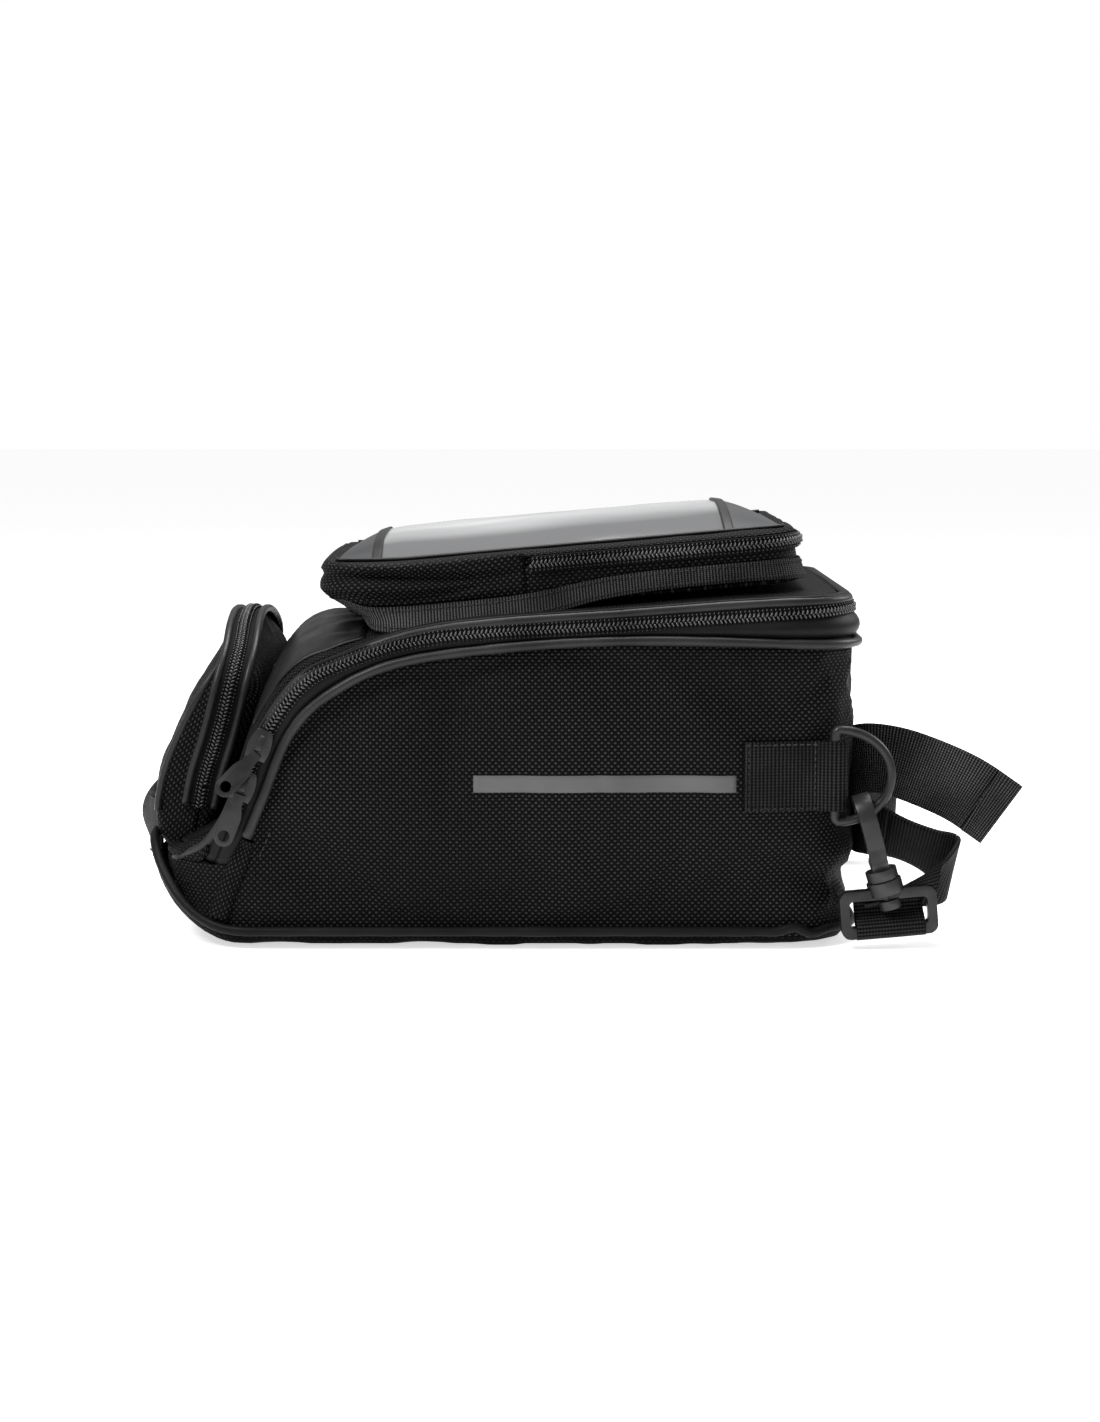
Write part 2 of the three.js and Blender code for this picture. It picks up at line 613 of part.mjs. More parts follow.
function pouchPieces() {
  const half = GAP / 2;
  const floorTop = 2;
  const frameLow = POUCH_HEIGHT - 2;
  const rearSide = toSolid(box(-200, POUCH_FOLD - half, -120, 120, -5, 60));
  const frontSide = toSolid(box(POUCH_FOLD + half, 200, -120, 120, -5, 60));
  const walls = ring(pouchPlan, COIL_LAYER + GAP, COIL_LAYER + GAP + POUCH_WALL, floorTop + GAP, frameLow);
  const belowZip = toSolid(box(-200, 200, -120, 120, 0, POUCH_ZIP - half));
  const aboveZip = toSolid(box(-200, 200, -120, 120, POUCH_ZIP + half, 60));
  const wall = common(walls, belowZip).add(common(walls, rearSide));
  const opening = toSolid(box(VINYL_REAR, VINYL_FRONT, -WINDOW_HALF_WIDTH, WINDOW_HALF_WIDTH, 0, 60));
  const frame = toSolid(upward(pouchPlan(COIL_LAYER + GAP), frameLow, POUCH_HEIGHT)).subtract(opening);
  const rim = common(walls, frontSide, aboveZip);
  const coils = (low, high) => common(ring(pouchPlan, 0, COIL_LAYER, low, high), frontSide);
  const vinyl = (low, high) => box(low + GAP, high - GAP, -WINDOW_HALF_WIDTH + GAP, WINDOW_HALF_WIDTH - GAP,
    POUCH_HEIGHT - 1.6, POUCH_HEIGHT - 0.2);
  return {
    base: [
      part('pouch_floor', upward(pouchPlan(COIL_LAYER + GAP), 0, floorTop), WOVEN),
      part('pouch_binding', ring(pouchPlan, -1.2, COIL_LAYER, 0, 8), TAPE),
      part('pouch_wall', wall, WOVEN),
      part('pouch_frame_rear', common(frame, rearSide).translate([0, 0, GAP]), WOVEN),
      part('window_rear', crownedSheet(WINDOW_REAR, POUCH_FOLD - FOLD_ROOM), CLEAR),
      part('vinyl_rear', vinyl(VINYL_REAR, WINDOW_REAR), VINYL),
      part('pouch_coil_lower', coils(POUCH_ZIP - 3, POUCH_ZIP - half), COIL),
    ],
    flap: [
      part('pouch_frame_front', common(frame, frontSide).add(rim), WOVEN),
      part('window_front', crownedSheet(POUCH_FOLD + half, WINDOW_FRONT), CLEAR),
      part('vinyl_front', vinyl(WINDOW_FRONT, VINYL_FRONT), VINYL),
      part('pouch_coil_upper', coils(POUCH_ZIP + half, POUCH_ZIP + 3), COIL),
    ],
  };
}

// --- assembly -----------------------------------------------------------------------------------
const bag = new THREE.Group();
const zips = zipPieces();
const pipings = pipingPieces();
bag.add(...basePieces(), ...wallPieces(), ...zips.lower, ...pipings.bag, ...strapPieces());

for (const [name, side] of [['near', NEAR], ['far', FAR]]) {
  bag.add(part(`${name}_ring_tab`, ringTab(side), STRAP));
  bag.add(part(`${name}_d_ring`, dRing(side), METAL));
  bag.add(swivelHook(name, side));
}

const CHAIN_ANGLE = THREE.MathUtils.degToRad(68);
bag.add(zipSlider('upper', onFlank(NEAR, -101.8, HALF_WIDTH, 84.5, CHAIN_ANGLE - Math.PI), 22, -0.39, 0.21));
bag.add(zipSlider('lower', onFlank(NEAR, -108.6, HALF_WIDTH, 67.5, CHAIN_ANGLE - Math.PI), 22));

const lid = new THREE.Group();
const pocket = pocketPieces();
lid.add(...zips.upper, ...pipings.lid, part('lid_panel', lidPanel(), WOVEN));
lid.add(pocket.shell, pocket.flap, pocket.coilShell, pocket.coilFlap);
lid.add(part('grab_handle', grabHandle(), STRAP));
const POCKET_SLIDER_ANGLE = Math.atan2(80 - POCKET_FOLD_Z, 3);
lid.add(zipSlider('pocket', onFlank(FAR, -129.3, POCKET_HALF_WIDTH + GAP + COIL_LAYER, 75,
  POCKET_SLIDER_ANGLE - Math.PI), 18));

const mapPouch = new THREE.Group();
const pouch = pouchPieces();
mapPouch.add(...pouch.base, ...pouch.flap);
mapPouch.add(...gripStrips('loop_strip', -GRIP_THICK - GAP));
mapPouch.add(...gripStrips('hook_strip', -2 * (GRIP_THICK + GAP)));
mapPouch.add(zipSlider('pouch', onFlank(FAR, -2, POUCH_HALF_WIDTH, POUCH_ZIP, Math.PI), 18));
mapPouch.rotation.y = -POUCH_TILT;
mapPouch.position.set(...POUCH_ORIGIN);
lid.add(mapPouch);
bag.add(lid);

export default bag;
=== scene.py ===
import json
import math

import bmesh
import bpy
import numpy as np
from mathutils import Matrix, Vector, noise

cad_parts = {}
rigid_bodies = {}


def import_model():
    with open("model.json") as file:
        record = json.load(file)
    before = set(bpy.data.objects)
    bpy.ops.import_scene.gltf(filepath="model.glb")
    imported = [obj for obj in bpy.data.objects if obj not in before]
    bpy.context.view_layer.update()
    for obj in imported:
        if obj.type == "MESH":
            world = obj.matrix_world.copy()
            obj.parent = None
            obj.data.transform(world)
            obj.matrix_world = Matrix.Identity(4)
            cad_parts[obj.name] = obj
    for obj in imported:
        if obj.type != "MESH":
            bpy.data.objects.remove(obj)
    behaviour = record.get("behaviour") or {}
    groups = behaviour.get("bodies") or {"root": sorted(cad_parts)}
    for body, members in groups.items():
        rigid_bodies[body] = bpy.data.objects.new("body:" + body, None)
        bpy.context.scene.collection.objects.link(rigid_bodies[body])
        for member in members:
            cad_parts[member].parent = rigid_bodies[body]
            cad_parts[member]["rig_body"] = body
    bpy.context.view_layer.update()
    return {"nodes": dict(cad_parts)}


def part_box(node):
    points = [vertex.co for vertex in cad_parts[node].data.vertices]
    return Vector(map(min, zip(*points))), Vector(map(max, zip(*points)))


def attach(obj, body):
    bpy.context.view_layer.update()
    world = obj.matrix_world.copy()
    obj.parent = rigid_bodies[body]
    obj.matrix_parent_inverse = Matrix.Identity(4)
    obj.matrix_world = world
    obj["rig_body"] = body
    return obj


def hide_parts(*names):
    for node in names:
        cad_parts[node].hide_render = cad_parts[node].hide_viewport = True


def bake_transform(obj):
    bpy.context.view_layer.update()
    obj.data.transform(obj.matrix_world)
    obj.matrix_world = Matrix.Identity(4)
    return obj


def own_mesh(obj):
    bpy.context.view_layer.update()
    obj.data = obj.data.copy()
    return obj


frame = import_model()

MM = 0.001

# --- driving dimensions, in millimetres in the CAD frame ---
REAR_X, FRONT_X, HALF_WIDTH = -146.0, 144.0, 100.0
REAR_RADIUS, FRONT_RADIUS = 42.0, 28.0
WALL = 4.0
REAR_TOP = 34.0                    # top edge of the rider end panel
ZIP_LINE = [(-122, 34.3), (-112, 59), (-101.5, 85), (-86, 107.5), (-69, 117.5), (-30, 128.6),
            (50, 134), (FRONT_X, 139.8)]
SEAM_LINE = [(-112.5, 34.3), (-101, 62), (-89.5, 89), (-74, 105), (-46, 118.3), (1, 125), (58, 127.7),
             (FRONT_X, 125.6)]
LID_LINE = [(-126.5, 36.3), (-116.5, 61), (-106, 87), (-90, 110.5), (-71, 121.5), (-30, 134.5),
            (50, 141.2), (107, 145.3), (FRONT_X, 146)]
LID_TAIL = [(-141, 35.5), (-134, 39.5), (-125.5, 46)]      # the lid piping's ends, round the rider corners
TOOTH_PITCH = 1.8

POUCH_ORIGIN = Vector((22, 0, 143.3))
POUCH_TILT = math.radians(5)
POUCH_REAR, POUCH_FRONT, POUCH_HALF, POUCH_RADIUS = -100.0, 102.0, 84.0, 22.0
POUCH_ZIP, POUCH_TOP, POUCH_FOLD = 15.5, 21.0, -13.0
WINDOW_REAR, WINDOW_FRONT, WINDOW_HALF, WINDOW_CROWN = -76.0, 73.0, 66.0, 11.5
VINYL_REAR, VINYL_FRONT = -93.0, 96.0

WEBBING, WEBBING_THICK = 30.0, 1.6
PILE_VOXEL, PILE_ROUNDS, PILE_BUMPS = 0.9, 2, 8.0          # how the hook-and-loop strips are remeshed

CLOTH_TRAVEL, CLOTH_FRAMES = 6.5, 18
CLOTH_SETTINGS = dict(quality=6, mass=0.3, tension_stiffness=20, compression_stiffness=20, shear_stiffness=8,
                      bending_stiffness=0.6, vertex_group_mass="pin", shrink_min=-0.012, use_pressure=True,
                      uniform_pressure_force=1.6)

CAMERA_PLACE, CAMERA_LENS, CAMERA_SENSOR = (17.5, -1170, 230), 66.4, 36
CAMERA_DOWN = 7.0                                          # degrees below level
LIGHTS = (("key", (-0.7, -0.55, 1.2), 0.5, 15), ("top", (0.15, 0.35, 1.3), 0.8, 20),
          ("rim", (1.1, 0.5, 0.7), 0.5, 6))                # place and size in metres, power in watts
FLOOR_HALF, FLOOR_DROP = 9000, 0.4

NEAR, FAR = -1, 1
SIDES = (("near", NEAR), ("far", FAR))


# --- lines and grids ---
def smooth_line(points, per_span=14):
    """A Catmull-Rom line through the points, with per_span points between each two."""
    p = np.array(points, float)
    padded = np.vstack([2 * p[0] - p[1], p, 2 * p[-1] - p[-2]])
    t = np.linspace(0, 1, per_span, endpoint=False)[:, None]
    spans = []
    for a, b, c, d in zip(padded, padded[1:], padded[2:], padded[3:]):
        spans.append(0.5 * (2 * b + (c - a) * t + (2 * a - 5 * b + 4 * c - d) * t**2
                            + (3 * b - a - 3 * c + d) * t**3))
    return np.vstack([*spans, p[-1:]])


def lengths_along(path):
    steps = np.linalg.norm(np.diff(path, axis=0), axis=1)
    return np.concatenate([[0], np.cumsum(steps)])


def resample(path, step, *others):
    """The path, and whatever goes with its points, at even steps along it."""
    along = lengths_along(path)
    count = max(2, int(round(along[-1] / step)) + 1)
    at = np.linspace(0, along[-1], count)
    pick = lambda values: np.column_stack([np.interp(at, along, column) for column in values.T])
    picked = [pick(path), *(pick(o) for o in others)]
    return picked[0] if not others else picked


def height_on(line, x):
    dense = smooth_line(line)
    return np.interp(x, dense[:, 0], dense[:, 1])


def ramp(x, start, end):
    """0 before start, 1 past end and straight between; end may be the lower of the two."""
    return np.clip((x - start) / (end - start), 0, 1)


def bell(x, at, width):
    """1 where x is at, falling smoothly to nothing on both sides."""
    return np.exp(-((x - at) / width) ** 2)


def underside(x):
    """Height of the bag's underside: flat, then rising under the rider end."""
    t = ramp(np.asarray(x, float), -104, -150)
    return 36 * t**3.2


def plan_loop(inset, rear=REAR_X, front=FRONT_X, half=HALF_WIDTH, rear_radius=REAR_RADIUS,
              front_radius=FRONT_RADIUS, per_corner=16, step=2.6):
    """A rounded plan and its outward normals, from the middle of the rear end by the near side and round."""
    low, high, side = rear + inset, front - inset, half - inset
    r0, r1 = max(rear_radius - inset, 1.5), max(front_radius - inset, 1.5)
    count = lambda length: max(3, int(length / step))
    quarter = np.linspace(0, math.pi / 2, per_corner)
    rear_ys = np.linspace(0, r0 - side, count(half - rear_radius), endpoint=False)
    side_xs = np.linspace(low + r0, high - r1, count(front - front_radius - rear - rear_radius))
    front_ys = np.linspace(r1 - side, side - r1, count(2 * (half - front_radius)))
    rows = [(low, y, -1, 0) for y in rear_ys]
    rows += [(low + r0 - r0 * math.cos(a), r0 - side - r0 * math.sin(a), -math.cos(a), -math.sin(a))
             for a in quarter]
    rows += [(x, -side, 0, -1) for x in side_xs[1:-1]]
    rows += [(high - r1 + r1 * math.sin(a), r1 - side - r1 * math.cos(a), math.sin(a), -math.cos(a))
             for a in quarter]
    near = np.array(rows)
    middle = np.array([(high, y, 1, 0) for y in front_ys[1:-1]])
    far = near[:0:-1] * np.array([1, -1, 1, -1])
    loop = np.vstack([near, middle, far])
    return loop[:, :2], loop[:, 2:]


def wall_route(line, inset, step=2.6):
    """Points and outward normals along a side line: near side, round the forward end, far side."""
    half, front, radius = HALF_WIDTH - inset, FRONT_X - inset, FRONT_RADIUS - inset
    dense = smooth_line(line)
    rows = []
    for x, z in dense[dense[:, 0] < front - radius]:
        lean = min(max(REAR_X + REAR_RADIUS - x, 0) / (REAR_RADIUS - inset), 1)
        rise = math.sqrt(1 - lean**2)
        rows.append((x, -half + (REAR_RADIUS - inset) * (1 - rise), z, -lean, -rise, 0))
    for angle in np.linspace(0, math.pi / 2, 16):
        x = front - radius + radius * math.sin(angle)
        y = -(half - radius + radius * math.cos(angle))
        rows.append((x, y, height_on(line, x), math.sin(angle), -math.cos(angle), 0))
    near = np.array(rows)
    middle = near[-1] * np.array([1, 0, 1, 1, 0, 1])
    far = near[::-1] * np.array([1, -1, 1, 1, -1, 1])
    route = np.vstack([near, middle, far])
    points, normals = resample(route[:, :3], step, route[:, 3:])
    return points, normals / np.linalg.norm(normals, axis=1)[:, None]


def wobble(points, size, amount, seed):
    """Soft, even noise at each point, from -amount to amount."""
    flat = np.asarray(points, float).reshape(-1, 3)
    values = [noise.noise(Vector(p) / size + Vector((seed, 2.3 * seed, -seed))) for p in flat]
    return amount * np.array(values).reshape(np.asarray(points).shape[:-1])


def as_grid(x, y, z):
    """A grid's points from three coordinates, each of which may be the same along one direction."""
    return np.stack(np.broadcast_arrays(x, y, z), -1).astype(float)


def in_space(normals, rise=0.0):
    """Plan normals as directions in space."""
    return np.column_stack([normals, np.full(len(normals), rise)])


def grid_normals(grid, wrap=False):
    if wrap:
        du = np.roll(grid, -1, 0) - np.roll(grid, 1, 0)
    else:
        du = np.gradient(grid, axis=0)
    dv = np.gradient(grid, axis=1)
    normals = np.cross(du, dv)
    return normals / np.maximum(np.linalg.norm(normals, axis=2), 1e-9)[..., None]


def grid_uv(grid):
    """Arc lengths in metres along both directions of a grid."""
    du = np.linalg.norm(np.diff(grid, axis=0), axis=2).mean(1)
    dv = np.linalg.norm(np.diff(grid, axis=1), axis=2)
    u = np.concatenate([[0], np.cumsum(du)])[:, None] + 0 * grid[..., 0]
    v = np.concatenate([np.zeros((len(grid), 1)), np.cumsum(dv, 1)], 1)
    return np.stack([u, v], 2) * MM


# --- meshes ---
def link(name, data):
    made = bpy.data.objects.new(name, data)
    bpy.context.scene.collection.objects.link(made)
    return made


def make_object(name, vertices, faces, uvs=None, material=None):
    """vertices in millimetres; uvs is one pair for each corner of each face."""
    mesh = bpy.data.meshes.new(name)
    mesh.from_pydata((np.asarray(vertices, float) * MM).tolist(), [], [list(map(int, f)) for f in faces])
    if uvs is not None:
        layer = mesh.uv_layers.new(name="UVMap")
        layer.data.foreach_set("uv", np.asarray(uvs, np.float32).ravel())
    finish_mesh(mesh, material)
    return link(name, mesh)


def finish_mesh(mesh, material):
    mesh.polygons.foreach_set("use_smooth", [True] * len(mesh.polygons))
    mesh.update()
    if material is not None:
        mesh.materials.append(material)


def quads(count_u, count_v, wrap, base=0, flip=False):
    """Corner indices of a grid's faces, and the same corners as (column, row) with no wrapping."""
    last = count_u if wrap else count_u - 1
    i, j = np.meshgrid(np.arange(last), np.arange(count_v - 1), indexing="ij")
    i, j = i.ravel(), j.ravel()
    columns = np.stack([i, i + 1, i + 1, i], 1)
    rows = np.stack([j, j, j + 1, j + 1], 1)
    if flip:
        columns, rows = columns[:, ::-1], rows[:, ::-1]
    return base + (columns % count_u) * count_v + rows, columns, rows


def sheet_mesh(name, grid, thickness, material, wrap=False, uv=None):
    """A closed sheet: the grid is its outer face, and its inner face lies thickness behind it."""
    grid = np.asarray(grid, float)
    count_u, count_v = grid.shape[:2]
    inner = grid - grid_normals(grid, wrap) * thickness
    uv = grid_uv(np.concatenate([grid, grid[:1]], 0) if wrap else grid) if uv is None else uv
    outer_faces, cols, rows = quads(count_u, count_v, wrap)
    inner_faces, cols2, rows2 = quads(count_u, count_v, wrap, count_u * count_v, True)
    faces = [*outer_faces, *inner_faces]
    corners = [*uv[cols, rows], *uv[cols2, rows2]]
    shift = count_u * count_v
    at = lambda u, v, layer: layer * shift + (u % count_u) * count_v + v
    rim = []
    for i in range(count_u if wrap else count_u - 1):
        rim.append([(i, 0, 0), (i, 0, 1), (i + 1, 0, 1), (i + 1, 0, 0)])
        top = count_v - 1
        rim.append([(i + 1, top, 0), (i + 1, top, 1), (i, top, 1), (i, top, 0)])
    if not wrap:
        for j in range(count_v - 1):
            rim.append([(0, j + 1, 0), (0, j + 1, 1), (0, j, 1), (0, j, 0)])
            end = count_u - 1
            rim.append([(end, j, 0), (end, j, 1), (end, j + 1, 1), (end, j + 1, 0)])
    faces += [[at(*corner) for corner in face] for face in rim]
    corners += [[uv[u, v] for u, v, _ in face] for face in rim]
    vertices = np.concatenate([grid.reshape(-1, 3), inner.reshape(-1, 3)])
    return make_object(name, vertices, faces, np.array(corners), material)


def frames_along(path, out, closed=False):
    """Tangent, outward and crosswise directions at each point of a path."""
    if closed:
        tangent = np.roll(path, -1, 0) - np.roll(path, 1, 0)
    else:
        tangent = np.gradient(path, axis=0)
    tangent /= np.linalg.norm(tangent, axis=1)[:, None]
    out = np.broadcast_to(np.asarray(out, float), path.shape)
    out = out - (out * tangent).sum(1)[:, None] * tangent
    out = out / np.linalg.norm(out, axis=1)[:, None]
    return tangent, out, np.cross(out, tangent)


def sweep(name, path, out, section, material, closed=False, scale=None):
    """A closed section swept along a path. The section's first axis is crosswise, its second is outward."""
    path = np.asarray(path, float)
    section = np.asarray(section, float)
    _, outward, crosswise = frames_along(path, out, closed)
    scale = np.ones(len(path)) if scale is None else np.asarray(scale)
    rings = (path[:, None] + crosswise[:, None] * section[None, :, :1] * scale[:, None, None]
             + outward[:, None] * section[None, :, 1:] * scale[:, None, None])
    count, sides = len(path), len(section)
    around = lengths_along(np.vstack([section, section[:1]])) * MM
    along = lengths_along(np.vstack([path, path[:1]])) * MM
    last = count if closed else count - 1
    faces, corners = [], []
    for i in range(last):
        ring, following = i * sides, (i + 1) % count * sides
        for j in range(sides):
            k = (j + 1) % sides
            faces.append([ring + j, ring + k, following + k, following + j])
            corners.append([(along[i], around[j]), (along[i], around[j + 1]),
                            (along[i + 1], around[j + 1]), (along[i + 1], around[j])])
    loops = [c for face in corners for c in face]
    if not closed:
        for ring, order in ((0, range(sides - 1, -1, -1)), (count - 1, range(sides))):
            faces.append([ring * sides + j for j in order])
            loops += [(along[ring], around[j]) for j in order]
    return make_object(name, rings.reshape(-1, 3), faces, loops, material)


def circle(radius, sides):
    angles = np.arange(sides) * 2 * math.pi / sides
    return np.column_stack([radius * np.cos(angles), radius * np.sin(angles)])


def flat_section(width, thick, per_edge):
    """A webbing's section: flat faces and round edges, with points across its width."""
    half, r = width / 2, thick / 2
    xs = np.linspace(-half + r, half - r, per_edge)
    top = [(x, r) for x in xs[::-1]]
    left = [(-half + r - r * math.sin(a), r * math.cos(a)) for a in (0.8, 1.57, 2.35)]
    bottom = [(x, -r) for x in xs]
    right = [(half - r + r * math.sin(a), r * math.cos(a)) for a in (2.35, 1.57, 0.8)]
    return np.array([*top, *left, *bottom, *right])[::-1]


def join_copies(name, vertices, faces, placements, material):
    """Many copies of one small shape as one mesh. A placement is an origin and three axes."""
    vertices = np.asarray(vertices, float)
    count = len(vertices)
    all_vertices = []
    all_faces = []
    for index, (origin, axes) in enumerate(placements):
        all_vertices.append(origin + vertices @ axes)
        all_faces += [[index * count + v for v in face] for face in faces]
    return make_object(name, np.vstack(all_vertices), all_faces, None, material)


def small_tube(points, radius, ends=0.4):
    """Vertices and faces of a short five-sided tube through a few points, with narrowed ends."""
    path = np.asarray(points, float)
    up = np.array((1.0, 0, 0)) if abs(path[-1][0] - path[0][0]) < 1e-6 else np.array((0, 0, 1.0))
    _, outward, crosswise = frames_along(path, up)
    vertices, faces = [], []
    sides = 5
    ring = circle(1, sides)
    last = len(path) - 1
    for i, p in enumerate(path):
        r = radius * (ends if i in (0, last) else 1)
        vertices += [p + crosswise[i] * c * r + outward[i] * s * r for c, s in ring]
    for i in range(last):
        for j in range(sides):
            k = (j + 1) % sides
            faces.append([i * sides + j, i * sides + k, (i + 1) * sides + k, (i + 1) * sides + j])
    faces.append(list(range(sides))[::-1])
    faces.append([last * sides + j for j in range(sides)])
    return np.array(vertices), faces


def places_along(path, out, pitch):
    """Points every pitch along a path, with the axes there: along it, across it and outward."""
    path = np.asarray(path, float)
    path, normals = resample(path, pitch, np.broadcast_to(out, path.shape).astype(float))
    tangent, outward, crosswise = frames_along(path, normals)
    return path, np.stack([tangent, crosswise, outward], 1)


def tooth_row(name, path, out, side, half=3.2, pitch=TOOTH_PITCH, offset=0.0):
    """One half of a coil zip: a raised slanting leg every pitch, and the loop of thread that holds it."""
    leg = [(-0.42, -0.1, 0.7), (-0.3, 0.1 * half, 1.75), (0.12, 0.36 * half, 1.95), (0.42, 0.62 * half, 0.9)]
    loop = [(-0.25, 0.7 * half, 0.5), (0, 0.82 * half, 1.15), (0.3, 0.98 * half, 0.3)]
    vertices, faces = [], []
    for line, radius in ((leg, 0.46), (loop, 0.34)):
        tube, tube_faces = small_tube([(t, side * a, h) for t, a, h in line], radius)
        faces += [[len(vertices) + v for v in (f[::-1] if side < 0 else f)] for f in tube_faces]
        vertices += list(tube)
    path, axes = places_along(path, out, pitch)
    placements = [(p + a[0] * offset * pitch, a) for p, a in zip(path[:-1], axes)]
    return join_copies(name, vertices, faces, placements, COIL)


def stitch_row(name, path, out, pitch=3.4, length=2.3, radius=0.33, sink=0.1):
    """A row of thread stitches on a surface."""
    half = length / 2
    thread = [(-half, 0, -radius), (-half * 0.6, 0, radius * 0.4), (half * 0.6, 0, radius * 0.4),
              (half, 0, -radius)]
    vertices, faces = small_tube(thread, radius, 0.5)
    path, axes = places_along(path, out, pitch)
    placements = [(p - a[2] * sink, a) for p, a in zip(path, axes)]
    return join_copies(name, vertices, faces, placements, THREAD)


def copy_of(node):
    """A bmesh of a CAD node, in metres, with double vertices merged and flat faces dissolved."""
    work = bmesh.new()
    work.from_mesh(frame["nodes"][node].data)
    bmesh.ops.remove_doubles(work, verts=work.verts, dist=1e-6)
    bmesh.ops.dissolve_limit(work, angle_limit=math.radians(1), verts=work.verts, edges=work.edges)
    return work


def piece_from(work, name):
    """The bmesh as an object in the scene."""
    mesh = bpy.data.meshes.new(name)
    work.to_mesh(mesh)
    work.free()
    return link(name, mesh)


def machined(node, material, bevel):
    """A CAD node with its sharp edges rounded, which stands for the node."""
    work = copy_of(node)
    sharp = [e for e in work.edges if len(e.link_faces) == 2 and e.calc_face_angle(0) > math.radians(38)]
    bmesh.ops.bevel(work, geom=sharp, offset=bevel * MM, segments=2, profile=0.6, affect="EDGES",
                    clamp_overlap=True)
    bmesh.ops.triangulate(work, faces=[f for f in work.faces if len(f.verts) > 4])
    piece = piece_from(work, f"{node}_finished")
    finish_mesh(piece.data, material)
    piece.data.set_sharp_from_angle(angle=math.radians(32))
    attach(piece, frame["nodes"][node]["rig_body"])
    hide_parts(node)


def softened(node, name, material):
    """A CAD node remeshed finely, its edges rounded, with a slightly uneven face."""
    piece = piece_from(copy_of(node), name)
    remesh = piece.modifiers.new("remesh", "REMESH")
    remesh.mode = "VOXEL"
    remesh.voxel_size = PILE_VOXEL * MM
    mesh = applied(piece)
    co = vertex_array(mesh)
    edges = np.zeros(len(mesh.edges) * 2, np.int32)
    mesh.edges.foreach_get("vertices", edges)
    a, b = edges.reshape(-1, 2).T
    degree = np.bincount(np.concatenate([a, b]), minlength=len(co))[:, None]
    for step in (0.6, -0.5) * PILE_ROUNDS:
        total = np.zeros_like(co)
        np.add.at(total, a, co[b])
        np.add.at(total, b, co[a])
        co = co + step * (total / degree - co)
    mesh.vertices.foreach_set("co", co.ravel())
    mesh.update()
    normals = vertex_array(mesh, "normal")
    lift = wobble(co / MM, PILE_BUMPS, 0.1, 1.0) + wobble(co / MM, PILE_BUMPS / 3, 0.03, 1.0)
    mesh.vertices.foreach_set("co", (co + normals * lift[:, None] * MM).ravel())
    mesh.materials.clear()
    finish_mesh(mesh, material)
    return piece


def vertex_array(mesh, attribute="co"):
    values = np.zeros(len(mesh.vertices) * 3, np.float32)
    mesh.vertices.foreach_get(attribute, values)
    return values.reshape(-1, 3).astype(float)


def applied(piece):
    """The piece's mesh with its modifiers applied."""
    depsgraph = bpy.context.evaluated_depsgraph_get()
    mesh = bpy.data.meshes.new_from_object(piece.evaluated_get(depsgraph))
    piece.modifiers.clear()
    old = piece.data
    piece.data = mesh
    bpy.data.meshes.remove(old)
    return mesh


def settle(grid, pinned):
    """A ring of cloth, held where pinned is 1, swollen and creased by Blender's cloth, up to CLOTH_TRAVEL."""
    faces, _, _ = quads(*grid.shape[:2], True)
    temp = make_object("settling", grid.reshape(-1, 3), faces)
    group = temp.vertex_groups.new(name="pin")
    for index, weight in enumerate(np.asarray(pinned).ravel()):
        if weight > 0:
            group.add([index], float(weight), "REPLACE")
    cloth = temp.modifiers.new("cloth", "CLOTH")
    for key, value in CLOTH_SETTINGS.items():
        setattr(cloth.settings, key, value)
    cloth.settings.effector_weights.gravity = 0
    cloth.collision_settings.use_collision = False
    cloth.point_cache.frame_start = 1
    cloth.point_cache.frame_end = CLOTH_FRAMES
    scene = bpy.context.scene
    for frame_number in range(1, CLOTH_FRAMES + 1):
        scene.frame_set(frame_number)
    depsgraph = bpy.context.evaluated_depsgraph_get()
    moved = vertex_array(temp.evaluated_get(depsgraph).data) / MM
    scene.frame_set(1)
    mesh = temp.data
    bpy.data.objects.remove(temp)
    bpy.data.meshes.remove(mesh)
    travel = moved.reshape(grid.shape) - grid
    far = np.linalg.norm(travel, axis=2)[..., None]
    return grid + travel * np.minimum(1, CLOTH_TRAVEL / np.maximum(far, 1e-6))


def ride(piece, body, slot, *nodes):
    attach(piece, body)
    if nodes:
        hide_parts(*nodes)


